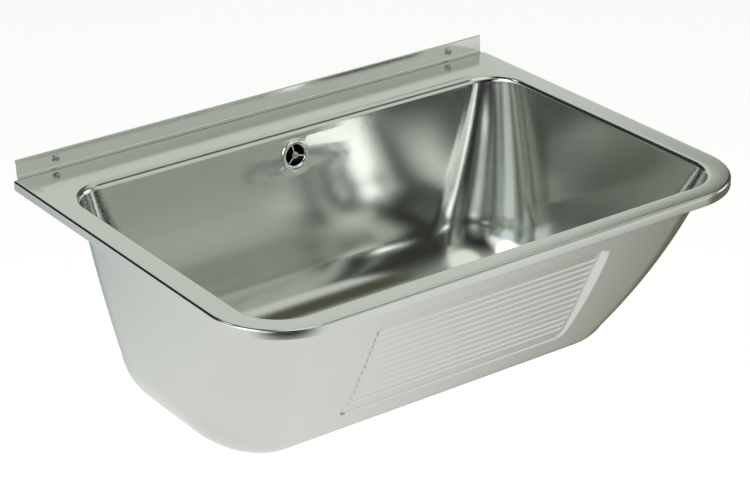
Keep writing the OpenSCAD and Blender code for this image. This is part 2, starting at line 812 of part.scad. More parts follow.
module waste_body() {
    out_r = outlet_d / 2;
    color("darkslategray") at_waste() difference() {
        union() {
            rotate_extrude() polygon([[chamber_r, body_top], [body_flange_r, body_top],
                [body_flange_r, body_top - 3], [chamber_r + body_wall, body_top - 4.5],
                [chamber_r + body_wall, chamber_low + 1], [out_r, chamber_low - 1],
                [out_r, chamber_low - outlet_length], [out_r - 3, chamber_low - outlet_length],
                [out_r - 3, chamber_low + 1], [chamber_r, chamber_low + 3]]);
            translate([0, 0, chamber_low + 2]) cylinder(r = body_hub_r, h = 8);
            for (a = [30 : 120 : 270]) rotate(a)
                translate([body_hub_r - 1, -1.5, chamber_low + 2])
                    cube([chamber_r + 2 - body_hub_r, 3, 7]);
            difference() {
                translate([0, chamber_r, -inlet_drop]) rotate([-90, 0, 0])
                    cylinder(r = spout_r, h = inlet_reach - chamber_r);
                cylinder(r = chamber_r, h = 100, center = true);
            }
        }
        translate([0, 0, chamber_low]) cylinder(r = waste_insert_r + fit, h = 11);
        translate([0, chamber_r - body_wall, -inlet_drop]) rotate([-90, 0, 0])
            cylinder(d = hose_bore, h = inlet_reach);
    }
}

module waste_screw() {
    head = bar_low + bar_height;
    color("whitesmoke") at_waste() translate([0, 0, head])
        pan_screw(waste_screw_d, waste_screw_d * 1.7, 2.6,
            head - waste_insert_top + waste_insert_h - 1);
}

module waste_insert() {
    color("goldenrod") at_waste() translate([0, 0, waste_insert_top - waste_insert_h])
        difference() {
            cylinder(r = waste_insert_r, h = waste_insert_h);
            translate([0, 0, -cut])
                cylinder(r = waste_screw_d / 2 + fit, h = waste_insert_h + 2 * cut);
        }
}

// ---------------------------------------------------------------- plug

// The plug's seal stands this far off the cone, measured level
seal_gap = 0.35;
seal_top = 0.4;
seal_low = -3.45;
groove_r = 20;
pull_pin_r = 2.5;
cap_top = 3.2;

module waste_plug() {
    r = plug_d / 2;
    color("gainsboro") at_waste() rotate_extrude() polygon([
        [pull_pin_r + fit, seal_low - 1.2], [groove_r + 2, seal_low - 1.2],
        [groove_r + 2, seal_low - fit], [groove_r, seal_low - fit],
        [groove_r, seal_top + fit], [r - 0.6, seal_top + fit], [r, seal_top + 0.6],
        [r - 0.4, seal_top + 1.1], [r * 0.8, cap_top - 0.6], [r * 0.45, cap_top],
        [pull_pin_r + fit, cap_top]]);
}

module plug_seal() {
    color("dimgray") at_waste() rotate_extrude() polygon([
        [groove_r + fit, seal_low], [cone_r(seal_low) - seal_gap, seal_low],
        [cone_r(seal_top - 0.6) - seal_gap, seal_top - 0.6], [cone_r(seal_top - 0.6) - seal_gap, seal_top],
        [groove_r + fit, seal_top]]);
}

module plug_pull() {
    top = cap_top + pull_height;
    head = pull_d / 2;
    color("whitesmoke") at_waste() rotate_extrude() polygon([
        [0, seal_low], [pull_pin_r, seal_low], [pull_pin_r, cap_top], [head * 0.7, cap_top],
        [head * 0.66, cap_top + 1], [head * 0.38, cap_top + 3.2], [head * 0.36, top - 7],
        [head * 0.6, top - 5], [head * 0.95, top - 3.6], [head, top - 2.4],
        [head * 0.94, top - 1], [head * 0.6, top - 0.2], [0, top]]);
}

basin();
bracket_left();
bracket_right();
fixing_screws();
overflow_ring();
overflow_screw();
overflow_gasket();
overflow_elbow();
elbow_insert();
hose_washer_top();
hose_nut_top();
overflow_hose();
hose_washer_low();
hose_nut_low();
waste_flange();
flange_seal();
body_seal();
waste_body();
waste_screw();
waste_insert();
waste_plug();
plug_seal();
plug_pull();
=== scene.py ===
"""Wall-hung mop service sink of drawn stainless steel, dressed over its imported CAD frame.

Metres, +Z up. The wall is the plane Y = 0, the bowl stands out towards -Y, and the origin is the
centre of the wall holes in the two hanging brackets, as in the CAD part.
"""

import logging
import math
from dataclasses import dataclass, field
from enum import Enum

import bmesh
import bpy
from mathutils import Matrix, Vector


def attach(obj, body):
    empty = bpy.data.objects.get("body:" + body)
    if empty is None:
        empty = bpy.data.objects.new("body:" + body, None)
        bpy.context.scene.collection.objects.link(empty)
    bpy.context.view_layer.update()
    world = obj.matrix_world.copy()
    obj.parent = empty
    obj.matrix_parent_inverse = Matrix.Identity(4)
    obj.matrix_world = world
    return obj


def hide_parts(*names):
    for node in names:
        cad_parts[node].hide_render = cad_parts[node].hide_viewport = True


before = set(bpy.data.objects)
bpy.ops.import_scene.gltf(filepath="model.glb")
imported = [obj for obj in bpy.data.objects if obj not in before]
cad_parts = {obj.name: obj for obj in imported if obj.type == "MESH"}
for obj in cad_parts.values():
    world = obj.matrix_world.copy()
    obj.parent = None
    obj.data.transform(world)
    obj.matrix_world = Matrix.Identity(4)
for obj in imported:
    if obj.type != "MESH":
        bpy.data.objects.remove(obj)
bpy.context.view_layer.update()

LOG = logging.getLogger("mop_sink")

DECK_Z = 0.026
SHEET = 0.001
WASTE_Y = -0.192
MERGE = 1e-6
Triple = tuple[float, float, float]
Color = Triple


# ---------------------------------------------------------------------------- shared helpers


def smooth_step(share: float) -> float:
    """Returns an even rise from 0 to 1 that starts and ends level."""
    share = min(max(share, 0.0), 1.0)
    return share * share * (3 - 2 * share)


def spread(start: float, end: float, count: int) -> list[float]:
    """Returns count places strictly between start and end, evenly apart."""
    return [start + (end - start) * (i + 1) / (count + 1) for i in range(count)]


def ring_of(bm: bmesh.types.BMesh, places: list[Vector]) -> list[bmesh.types.BMVert]:
    """Adds a closed loop of edges.

    Args:
        bm: The mesh that gets the loop.
        places: Where its vertices lie, in order.

    Returns:
        The loop's vertices.
    """
    verts = [bm.verts.new(place) for place in places]
    for here, there in zip(verts, verts[1:] + verts[:1]):
        bm.edges.new((here, there))
    return verts


def edges_of(verts: list[bmesh.types.BMVert]) -> list[bmesh.types.BMEdge]:
    """Finds the edges of a closed loop.

    Args:
        verts: The loop's vertices, in order.

    Returns:
        The edges from each vertex to the next.
    """
    found = []
    for here, there in zip(verts, verts[1:] + verts[:1]):
        found.append(next(e for e in here.link_edges if e.other_vert(here) is there))
    return found


def drawn_on(bm: bmesh.types.BMesh, verts: list[bmesh.types.BMVert],
             places: list[Vector]) -> list[bmesh.types.BMVert]:
    """Extrudes a closed loop and moves each new vertex to its own place.

    Args:
        bm: The mesh of the loop.
        verts: The loop's vertices, in order.
        places: Where the new ones go, in the same order.

    Returns:
        The new loop's vertices, in order.
    """
    made = bmesh.ops.extrude_edge_only(bm, edges=edges_of(verts))["geom"]
    new = {item for item in made if isinstance(item, bmesh.types.BMVert)}
    found = []
    for vert, place in zip(verts, places):
        follower = next(o for o in (e.other_vert(vert) for e in vert.link_edges) if o in new)
        follower.co = place
        found.append(follower)
    return found


def stand(name: str, data: bpy.types.ID) -> bpy.types.Object:
    """Puts a mesh, a lamp or a camera into the scene, at the origin, and returns the object."""
    obj = bpy.data.objects.new(name, data)
    bpy.context.scene.collection.objects.link(obj)
    return obj


def turned_profile(profile: list[tuple[float, float]], steps: int) -> bmesh.types.BMesh:
    """Spins a profile about the Z axis.

    Args:
        profile: Radius and height of each corner, in order. It closes on itself, or starts and
            ends on the axis.
        steps: Number of steps of the full turn.

    Returns:
        A mesh with closed seams and outward faces.
    """
    bm = bmesh.new()
    verts = [bm.verts.new((radius, 0, height)) for radius, height in profile]
    edges = [bm.edges.new(pair) for pair in zip(verts, verts[1:])]
    if profile[0][0] > 0:
        edges.append(bm.edges.new((verts[-1], verts[0])))
    bmesh.ops.spin(bm, geom=verts + edges, cent=(0, 0, 0), axis=(0, 0, 1), dvec=(0, 0, 0),
                   angle=math.tau, steps=steps, use_merge=True, use_duplicate=False)
    bmesh.ops.remove_doubles(bm, verts=bm.verts, dist=MERGE)
    bmesh.ops.recalc_face_normals(bm, faces=bm.faces)
    return bm


def rounded(profile: list[tuple[float, float]], radius: float,
            segments: int = 3) -> list[tuple[float, float]]:
    """Rounds every corner of a closed profile.

    Args:
        profile: Radius and height of each corner, in order.
        radius: How far from a corner its rounding starts, at most.
        segments: Pieces of each rounding.

    Returns:
        The corners of the rounded profile.
    """
    result = []
    for i, corner in enumerate(profile):
        here = Vector(corner)
        before, after = Vector(profile[i - 1]) - here, Vector(profile[(i + 1) % len(profile)]) - here
        reach = min(radius, before.length * 0.45, after.length * 0.45)
        if here.x < 1e-6:
            result.append((here.x, here.y))
            continue
        start, end = here + before.normalized() * reach, here + after.normalized() * reach
        for k in range(segments + 1):
            t = k / segments
            place = start * (1 - t) ** 2 + here * 2 * t * (1 - t) + end * t ** 2
            result.append((place.x, place.y))
    return result


# ---------------------------------------------------------------------------- finishes


class NodeSheet:
    """A node tree with short calls for nodes and their inputs."""

    def __init__(self, tree: bpy.types.NodeTree) -> None:
        """Keeps the tree's nodes and links."""
        self.nodes, self.links = tree.nodes, tree.links

    def feed(self, node: bpy.types.Node, inputs: dict) -> None:
        """Sets or links inputs of a node.

        Args:
            node: The node.
            inputs: A value or an output socket for each input's name or number.
        """
        for key, given in inputs.items():
            if isinstance(given, bpy.types.NodeSocket):
                self.links.new(given, node.inputs[key])
            else:
                node.inputs[key].default_value = given

    def add(self, kind: str, inputs: dict | None = None, **settings: object) -> bpy.types.Node:
        """Adds a shader node.

        Args:
            kind: Its type, without the first part that all types share.
            inputs: A value or an output socket for each input's name or number.
            **settings: Its own properties, such as its operation.

        Returns:
            The node.
        """
        node = self.nodes.new("ShaderNode" + kind)
        for key, value in settings.items():
            setattr(node, key, value)
        self.feed(node, inputs or {})
        return node

    def mix(self, factor: bpy.types.NodeSocket, low: object, high: object) -> bpy.types.NodeSocket:
        """Mixes two colours.

        Args:
            factor: Share of the second one.
            low: The first colour, as a value or a socket.
            high: The second colour, as a value or a socket.

        Returns:
            The mixed colour.
        """
        inputs = {"Factor": factor, "A": low, "B": high}
        return self.add("Mix", inputs, data_type="RGBA").outputs["Result"]

    def mask(self, value: bpy.types.NodeSocket, outer: float, inner: float) -> bpy.types.NodeSocket:
        """Makes a soft-edged mask.

        Args:
            value: The measured value.
            outer: Where the mask starts to rise from 0.
            inner: Where it reaches 1.

        Returns:
            The mask.
        """
        inputs = {"Value": value, "From Min": outer, "From Max": inner}
        return self.add("MapRange", inputs, interpolation_type="SMOOTHSTEP").outputs[0]


def grain_group() -> bpy.types.NodeTree:
    """Builds the shared node group of fine directional grain and large cloudy wear.

    Returns:
        A group with the outputs Grain, the fine streaks, and Cloud, the broad variation.
    """
    name = "surface grain"
    if name in bpy.data.node_groups:
        return bpy.data.node_groups[name]
    tree = bpy.data.node_groups.new(name, "ShaderNodeTree")
    tree.interface.new_socket("Vector", in_out="INPUT", socket_type="NodeSocketVector")
    for socket in ("Scale", "Detail", "Cloud Scale"):
        tree.interface.new_socket(socket, in_out="INPUT", socket_type="NodeSocketFloat")
    tree.interface.new_socket("Stretch", in_out="INPUT", socket_type="NodeSocketVector")
    for socket in ("Grain", "Cloud"):
        tree.interface.new_socket(socket, in_out="OUTPUT", socket_type="NodeSocketFloat")
    sheet = NodeSheet(tree)
    given, put = tree.nodes.new("NodeGroupInput"), tree.nodes.new("NodeGroupOutput")
    vector, stretch, scale, detail, cloud_scale = (
        given.outputs[key] for key in ("Vector", "Stretch", "Scale", "Detail", "Cloud Scale"))
    drawn = sheet.add("VectorMath", {0: vector, 1: stretch}, operation="MULTIPLY")
    fine = sheet.add("TexNoise", {"Roughness": 0.65, "Vector": drawn.outputs[0], "Scale": scale,
                                  "Detail": detail})
    broad = sheet.add("TexNoise", {"Detail": 3, "Vector": vector, "Scale": cloud_scale})
    sheet.feed(put, {"Grain": fine.outputs["Fac"], "Cloud": broad.outputs["Fac"]})
    return tree


@dataclass(frozen=True)
class Finish:
    """A procedural finish: a base colour, a grain that moves its roughness and height, and wear."""

    name: str
    color: Color
    roughness: float
    metallic: float = 0.0
    stretch: Triple = (1, 1, 1)
    grain_scale: float = 900
    grain_detail: float = 3
    grain_rough: float = 0.04
    grain_height: float = 0.02
    cloud_scale: float = 9
    cloud_rough: float = 0.03
    cloud_tint: float = 0.03
    noise_span: tuple[float, float] = (0.3, 0.7)

    def material(self) -> bpy.types.Material:
        """Builds the finish's material, or returns the one built before."""
        return bpy.data.materials.get(self.name) or self.build()

    def build(self) -> bpy.types.Material:
        """Builds the finish's node tree.

        Returns:
            The new material.
        """
        material = bpy.data.materials.new(self.name)
        material.use_nodes = True
        material.diffuse_color = (*self.color, 1)
        sheet = NodeSheet(material.node_tree)
        place = sheet.add("TexCoord").outputs["Object"]
        grain = sheet.add("Group", {
            "Vector": place, "Scale": self.grain_scale, "Detail": self.grain_detail,
            "Cloud Scale": self.cloud_scale, "Stretch": self.stretch}, node_tree=grain_group())
        fine, cloud = grain.outputs["Grain"], grain.outputs["Cloud"]
        bump = sheet.add("Bump", {"Strength": self.grain_height, "Distance": 0.001, "Height": fine})
        sheet.feed(sheet.nodes["Principled BSDF"], {
            "Metallic": self.metallic, "Base Color": self.clouded_color(sheet, cloud),
            "Roughness": self.worn_roughness(sheet, fine, cloud),
            "Normal": bump.outputs["Normal"]})
        return material

    def clouded_color(self, sheet: NodeSheet, cloud: bpy.types.NodeSocket) -> bpy.types.NodeSocket:
        """Lets the broad clouds darken and lighten the base colour.

        Args:
            sheet: The material's nodes.
            cloud: The broad variation.

        Returns:
            The clouded colour.
        """
        ramp = sheet.add("ValToRGB", {"Fac": cloud})
        low, high = ramp.color_ramp.elements
        low.position, high.position = self.noise_span
        low.color = (*[max(c * (1 - self.cloud_tint), 0) for c in self.color], 1)
        high.color = (*[min(c * (1 + self.cloud_tint), 1) for c in self.color], 1)
        return ramp.outputs["Color"]

    def worn_roughness(self, sheet: NodeSheet, fine: bpy.types.NodeSocket,
                       cloud: bpy.types.NodeSocket) -> bpy.types.NodeSocket:
        """Lets grain and clouds move the roughness about its middle value.

        Args:
            sheet: The material's nodes.
            fine: The fine streaks.
            cloud: The broad variation.

        Returns:
            The roughness.
        """
        low, high = self.noise_span
        parts = {}
        for i, (noise, middle, reach) in enumerate(((fine, self.roughness, self.grain_rough),
                                                    (cloud, 0, self.cloud_rough))):
            parts[i] = sheet.add("MapRange", {
                "Value": noise, "From Min": low, "From Max": high,
                "To Min": middle - reach, "To Max": middle + reach}).outputs[0]
        return sheet.add("Math", parts, operation="ADD", use_clamp=True).outputs[0]


SATIN_STEEL = Finish("satin drawn steel", (0.69, 0.71, 0.68), 0.14, metallic=1.0,
                     stretch=(0.03, 1, 1), grain_scale=1400, grain_rough=0.02, grain_height=0.015,
                     cloud_scale=7, cloud_rough=0.012, cloud_tint=0.02)
TURNED_STEEL = Finish("turned waste steel", (0.70, 0.71, 0.69), 0.16, metallic=1.0,
                      grain_scale=1200, grain_rough=0.02, grain_height=0.01)
CHROME = Finish("chrome plate", (0.84, 0.85, 0.84), 0.05, metallic=1.0, grain_scale=500,
                grain_rough=0.01, grain_height=0.003, cloud_scale=60, cloud_rough=0.01)
SCREW_STEEL = Finish("plated screw steel", (0.55, 0.57, 0.55), 0.2, metallic=1.0,
                     grain_scale=900, grain_rough=0.05, grain_height=0.02, cloud_scale=120)
ZINC = Finish("zinc plated steel", (0.55, 0.58, 0.59), 0.36, metallic=1.0, grain_scale=160,
              grain_detail=2, grain_rough=0.09, grain_height=0.03, cloud_scale=45,
              cloud_rough=0.05, cloud_tint=0.09)
DARK_PLASTIC = Finish("graphite moulded plastic", (0.035, 0.037, 0.038), 0.42,
                      grain_scale=1500, grain_rough=0.05, grain_height=0.05, cloud_tint=0.1)
RUBBER = Finish("matt rubber", (0.02, 0.02, 0.02), 0.68, grain_scale=1100, grain_rough=0.08,
                grain_height=0.08, cloud_tint=0.15)
BRASS = Finish("turned brass", (0.72, 0.56, 0.27), 0.24, metallic=1.0, grain_scale=900,
               grain_rough=0.05, grain_height=0.02)


def make_piece(name: str, bm: bmesh.types.BMesh, finish: Finish, nodes: tuple[str, ...],
               body: str = "sink", sharp: float = 40) -> bpy.types.Object:
    """Turns a bmesh into a piece of the sink.

    Args:
        name: Name of the piece.
        bm: Its mesh, which is freed.
        finish: Its finish.
        nodes: CAD nodes that it stands for, which it hides.
        body: CAD body that it rides on.
        sharp: Edges that bend more than this many degrees stay sharp.

    Returns:
        The new object.
    """
    for face in bm.faces:
        face.smooth = True
    for edge in bm.edges:
        edge.smooth = len(edge.link_faces) == 2 and edge.calc_face_angle(0) < math.radians(sharp)
    mesh = bpy.data.meshes.new(name)
    bm.to_mesh(mesh)
    bm.free()
    mesh.materials.append(finish.material())
    obj = stand(name, mesh)
    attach(obj, body)
    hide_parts(*nodes)
    LOG.info("%s: %d faces", name, len(mesh.polygons))
    return obj


# ---------------------------------------------------------------------------- drawn basin


class Zone(Enum):
    """Stretches of the sheet's section, from the lip's free edge in to the floor."""

    CURL = 0
    ROLL = 1
    EDGE = 2
    WALL = 3
    FLOOR = 4


@dataclass(frozen=True)
class Row:
    """One loop of the sheet: a place in one stretch of its section, by share from 0 to 1."""

    zone: Zone
    share: float


@dataclass(frozen=True)
class WallSection:
    """Section of one side: lip, flat rim, edge radius, wall of evenly changing slope, floor radius."""

    rim: float
    edge: float
    top_angle: float
    low_angle: float
    depth: float = 0.222
    floor_radius: float = 0.070
    lip_height: float = 0.0115
    lip_radius: float = 0.003
    lip_curl: float = 0.002

    def foot_drop(self) -> float:
        """Returns the drop at which the wall runs into the floor radius."""
        return self.depth - self.floor_radius * (1 - math.sin(math.radians(self.low_angle)))

    def wall(self, share: float) -> tuple[float, float]:
        """Places a point of the wall.

        Args:
            share: Share of the wall's height, from its top.

        Returns:
            Inset from the outer edge and drop below the deck.
        """
        top, low = math.radians(self.top_angle), math.radians(self.low_angle)
        start = self.edge * (1 - math.sin(top))
        height = self.foot_drop() - start
        lean = math.tan(top) * share + (math.tan(low) - math.tan(top)) * share ** 2 / 2
        return self.rim + self.edge * math.cos(top) + height * lean, start + height * share

    def point(self, row: Row) -> tuple[float, float]:
        """Places a point of the section.

        Args:
            row: The loop that it belongs to.

        Returns:
            Inset from the outer edge and drop below the deck.
        """
        if row.zone is Zone.CURL:
            turn = math.radians(90 * (1 - row.share))
            return (self.lip_curl * (1 - math.cos(turn)),
                    self.lip_height - self.lip_curl * (1 - math.sin(turn)))
        if row.zone is Zone.ROLL:
            turn = math.radians(90 * row.share)
            return self.lip_radius * (1 - math.cos(turn)), self.lip_radius * (1 - math.sin(turn))
        if row.zone is Zone.EDGE:
            turn = math.radians((90 - self.top_angle) * row.share)
            return self.rim + self.edge * math.sin(turn), self.edge * (1 - math.cos(turn))
        if row.zone is Zone.WALL:
            return self.wall(row.share)
        foot = self.wall(1)[0]
        low = math.radians(self.low_angle)
        turn = low + (math.pi / 2 - low) * row.share
        return (foot + self.floor_radius * (math.cos(low) - math.cos(turn)),
                self.depth - self.floor_radius * (1 - math.sin(turn)))


FRONT_SECTION = WallSection(0.021, 0.005, 19.5, 36.5)


@dataclass
class Washboard:
    """The ribbed panel pressed from the front wall into the bowl."""

    width: float = 0.282
    top: float = 0.046
    low: float = 0.178
    step: float = 0.0035
    corner: float = 0.013
    pitch: float = 0.010
    rib_radius: float = 0.003
    rib_height: float = 0.0016
    margin: float = 0.011
    top_margin: float = 0.022
    foot_fillet: float = 0.002
    crest_fillet: float = 0.002
    ramp_angle: float = 65
    fade: float = 0.62
    soft_foot: float = 0.00025
    rib_rows: tuple[float, ...] = (0.0005, 0.0015, 0.0023, 0.0029, 0.0036)
    wall: WallSection = FRONT_SECTION
    front_y: float = -0.460

    def __post_init__(self) -> None:
        """Works out the panel's own axes and the number of its ribs."""
        top, low = (self.on_wall(self.share_at_drop(drop)) for drop in (self.top, self.low))
        self.centre = (top + low) / 2
        self.down = (low - top).normalized()
        self.inward = Vector((0, -self.down.z, self.down.y))
        self.length = (low - top).length
        self.ribs = int((self.length - self.top_margin - self.margin) / self.pitch) + 1
        self.first_rib = self.top_margin - self.length / 2

    def on_wall(self, share: float) -> Vector:
        """Returns the point of the front wall, in the plane X = 0, at a share of its height."""
        inset, drop = self.wall.wall(share)
        return Vector((0, self.front_y + inset, DECK_Z - drop))

    def share_at_drop(self, drop: float) -> float:
        """Returns the share of the wall's height at a drop below the deck."""
        start = self.wall.wall(0)[1]
        return (drop - start) / (self.wall.foot_drop() - start)

    def share_at(self, along: float) -> float:
        """Finds the share of the wall's height at a place along the panel.

        Args:
            along: Distance down the panel from its middle.

        Returns:
            The share, found by halving.
        """
        low, high = 0.0, 1.0
        for _ in range(40):
            middle = (low + high) / 2
            if (self.on_wall(middle) - self.centre).dot(self.down) < along:
                low = middle
            else:
                high = middle
        return (low + high) / 2

    @staticmethod
    def edge_band(half: float) -> list[float]:
        """Returns the places that the pressed edge needs, from just outside it inwards."""
        return [half + 0.0006 - 0.0005 * i for i in range(12)] + [half - 0.0065, half - 0.0085]

    def rows_along(self) -> list[float]:
        """Returns the places down the panel that its edges and ribs need."""
        band = self.edge_band(self.length / 2)
        places = [-p for p in band] + band
        for i in range(self.ribs):
            middle = self.first_rib + i * self.pitch
            places += [middle + side * row for side in (-1, 1) for row in self.rib_rows]
        return sorted(places)

    def columns_across(self) -> list[float]:
        """Returns the places across the panel that its edges and the ribs' ends need."""
        half = self.width / 2
        band, end = self.edge_band(half), half - self.margin
        band += [end + 0.0032 - 0.0008 * i for i in range(5)] + [end - 0.004, end * 0.66, end * 0.33]
        return sorted([-p for p in band] + [0.0] + band)

    def ramp(self, inside: float, rise: float) -> float:
        """Height of the pressed edge.

        Args:
            inside: Distance inside the panel's outline.
            rise: Height of the panel over the wall.

        Returns:
            Height over the wall.
        """
        level = 1 - rise / (self.foot_fillet + self.crest_fillet)
        slope = math.acos(max(level, math.cos(math.radians(self.ramp_angle))))
        foot, crest = self.foot_fillet * math.sin(slope), self.crest_fillet * math.sin(slope)
        lost = (self.foot_fillet + self.crest_fillet) * (1 - math.cos(slope))
        total = foot + crest + (rise - lost) / math.tan(slope)
        if inside <= 0:
            return 0.0
        if inside < foot:
            return self.foot_fillet - math.sqrt(self.foot_fillet ** 2 - inside ** 2)
        if inside < total - crest:
            return self.foot_fillet * (1 - math.cos(slope)) + (inside - foot) * math.tan(slope)
        if inside < total:
            rest = total - inside
            return rise - self.crest_fillet + math.sqrt(self.crest_fillet ** 2 - rest ** 2)
        return rise

    def rib(self, across: float, along: float) -> float:
        """Height of the ribs over the panel.

        Args:
            across: Distance from the panel's middle line.
            along: Distance down the panel from its middle.

        Returns:
            Height over the panel, with a soft foot.
        """
        nearest = min(max(round((along - self.first_rib) / self.pitch), 0), self.ribs - 1)
        beside = along - self.first_rib - nearest * self.pitch
        beyond = max(abs(across) - (self.width / 2 - self.margin), 0)
        arc = math.sqrt(max(self.rib_radius ** 2 - beside ** 2 - beyond ** 2, 0))
        height = arc - (self.rib_radius - self.rib_height)
        return (height + math.sqrt(height ** 2 + self.soft_foot ** 2)) / 2

    def press(self, vert: bmesh.types.BMVert) -> None:
        """Moves a vertex of the front wall to where the press leaves it."""
        offset = vert.co - self.centre
        across, along, height = offset.x, offset.dot(self.down), offset.dot(self.inward)
        past = Vector((abs(across) - self.width / 2 + self.corner,
                       abs(along) - self.length / 2 + self.corner))
        outside = Vector((max(past.x, 0), max(past.y, 0))).length + min(max(past.x, past.y), 0)
        inside = self.corner - outside
        if inside <= 0:
            return
        sunk = smooth_step(0.5 + along / self.length)
        rise = (self.step + SHEET - height) * (1 - self.fade * sunk)
        vert.co += self.inward * (self.ramp(inside, rise) + self.rib(across, along))


@dataclass
class Basin:
    """The basin, drawn from one sheet: upstand, deck, rim, lip, bowl and washboard."""

    width: float = 0.600
    depth: float = 0.460
    upstand_face: float = -0.005
    upstand_bend: float = 0.003
    upstand_height: float = 0.020
    upstand_inset: float = 0.0055
    hem_roll: float = 0.00112
    hem_height: float = 0.004
    outer_corner: float = 0.076
    opening_corner: float = 0.050
    front_low_corner: float = 0.080
    rear_low_corner: float = 0.088
    trim: float = 0.018
    floor_fall: float = 0.002
    seat_radius: float = 0.042
    seat_depth: float = 0.004
    waste_hole: float = 0.028
    overflow_drop: float = 0.030
    overflow_hole: float = 0.0135
    rear_angle: float = 3
    wall_rows: tuple[float, ...] = (0.012, 0.028, 0.10, 0.15, 0.95)
    deck_cut: tuple[float, float] = (0.25, -0.05)
    overflow_rings: tuple[float, ...] = (0.0155, 0.0145)
    front_wall_y: float = -0.3
    corner_steps: int = 22
    seat_rings: tuple[tuple[float, float], ...] = (
        (0.0475, 0.0001), (0.0463, 0.0006), (0.0452, 0.0015), (0.0438, 0.0028), (0.0430, 0.0035),
        (0.0420, 0.00392), (0.0408, 0.004), (0.036, 0.004))
    side: WallSection = WallSection(0.022, 0.005, 1.5, 7.5)
    front: WallSection = FRONT_SECTION
    board: Washboard = field(default_factory=Washboard)

    def __post_init__(self) -> None:
        """Works out the trimmed rear edge and the rear wall's section."""
        self.deck_start = self.upstand_face - self.upstand_bend
        self.rear_y = self.trim + self.deck_start
        self.rear = WallSection(self.rear_y + 0.056, 0.009, self.rear_angle, self.rear_angle)
        self.overflow_columns = [i * 0.0035 for i in range(-5, 6)]

    # --- where the loops run

    def rows(self) -> list[Row]:
        """Returns all loops, from the lip's free edge in to the floor."""
        pressed = [self.board.share_at(along) for along in self.board.rows_along()]
        wall = sorted({*self.wall_rows, *self.overflow_span(), *pressed})
        return ([Row(Zone.CURL, i / 6) for i in range(7)]
                + [Row(Zone.ROLL, i / 10) for i in range(11)]
                + [Row(Zone.EDGE, i / 10) for i in range(11)]
                + [Row(Zone.WALL, share) for share in wall]
                + [Row(Zone.FLOOR, i / 20) for i in range(21)])

    def overflow_span(self) -> tuple[float, float]:
        """Returns the shares of the wall's height just above and below the overflow."""
        start = self.rear.wall(0)[1]
        height = self.rear.foot_drop() - start
        reach = self.overflow_columns[-1]
        return tuple((self.overflow_drop + side * reach - start) / height for side in (-1, 1))

    def corner_radius(self, row: Row, end: WallSection, outer: float, low: float) -> float:
        """Corner radius of a loop.

        Args:
            row: The loop.
            end: Section of the front or the rear.
            outer: Radius at the outer edge.
            low: Radius at the foot of the walls.

        Returns:
            The radius in metres.
        """
        def growth(since: Row) -> float:
            """Returns the mean inset gained since another loop."""
            return sum(s.point(row)[0] - s.point(since)[0] for s in (self.side, end)) / 2

        if row.zone in (Zone.CURL, Zone.ROLL):
            return max(outer - self.side.point(row)[0], 0.001)
        rim = Row(Zone.EDGE, 0)
        if row.zone is Zone.EDGE:
            return self.opening_corner - growth(rim)
        if row.zone is Zone.WALL:
            top = self.opening_corner - sum(
                s.point(Row(Zone.EDGE, 1))[0] - s.point(rim)[0] for s in (self.side, end)) / 2
            return top + (low - top) * row.share
        return max(low - growth(Row(Zone.WALL, 1)), 0.004)

    def loop_places(self, row: Row) -> list[Vector]:
        """Places the vertices of one loop, anticlockwise from the rear right corner.

        Args:
            row: The loop.

        Returns:
            Its vertices' places.
        """
        (side_in, side_drop), (front_in, front_drop), (rear_in, rear_drop) = (
            s.point(row) for s in (self.side, self.front, self.rear))
        half, front_y, rear_y = self.width / 2 - side_in, front_in - self.depth, self.rear_y - rear_in
        front_r = self.corner_radius(row, self.front, self.outer_corner, self.front_low_corner)
        rear_r = self.corner_radius(row, self.rear, self.trim / 3, self.rear_low_corner)

        def corner(x: float, y: float, radius: float, start: int, end_drop: float) -> list[Vector]:
            """Returns a quarter turn whose drop passes from the side's to the end's."""
            places = []
            for i in range(self.corner_steps + 1):
                turn = math.radians(start + 90 * i / self.corner_steps)
                weight = math.cos(turn) ** 2
                places.append(Vector((x + radius * math.cos(turn), y + radius * math.sin(turn),
                                      DECK_Z - side_drop * weight - end_drop * (1 - weight))))
            return places

        sides = spread(0, 1, 6)
        low_y, high_y = front_y + front_r, rear_y - rear_r
        rear_end = half - rear_r
        rear_places = sorted(self.overflow_columns + [s * rear_end * t for s in (-1, 1)
                                                      for t in (0.35, 0.65)], reverse=True)
        return (corner(half - rear_r, high_y, rear_r, 0, rear_drop)
                + [Vector((x, rear_y, DECK_Z - rear_drop)) for x in rear_places]
                + corner(rear_r - half, high_y, rear_r, 90, rear_drop)
                + [Vector((-half, high_y + (low_y - high_y) * t, DECK_Z - side_drop)) for t in sides]
                + corner(front_r - half, low_y, front_r, 180, front_drop)
                + [Vector((x, front_y, DECK_Z - front_drop)) for x in self.board.columns_across()]
                + corner(half - front_r, low_y, front_r, 270, front_drop)
                + [Vector((half, low_y + (high_y - low_y) * t, DECK_Z - side_drop)) for t in sides])

    # --- how the sheet is made

    def loft(self, bm: bmesh.types.BMesh) -> list[list[bmesh.types.BMVert]]:
        """Draws the upper skin from loop to loop.

        Args:
            bm: The mesh that gets the skin.

        Returns:
            The vertices of each loop.
        """
        places = [self.loop_places(row) for row in self.rows()]
        places += self.floor_places(places[-1])
        loops = [ring_of(bm, places[0])]
        for loop in places[1:]:
            loops.append(drawn_on(bm, loops[-1], loop))
        return loops

    def floor_places(self, outline: list[Vector]) -> list[list[Vector]]:
        """Places the loops of the floor, which turns round and falls to the seat of the waste.

        Args:
            outline: Places of the floor's outermost loop.

        Returns:
            The places of each loop.
        """
        count, shelf = len(outline), self.seat_radius + self.seat_depth + 0.004
        level = DECK_Z - self.side.depth
        middle = Vector((0, WASTE_Y, level))
        start = math.atan2(outline[0].y - WASTE_Y, outline[0].x)

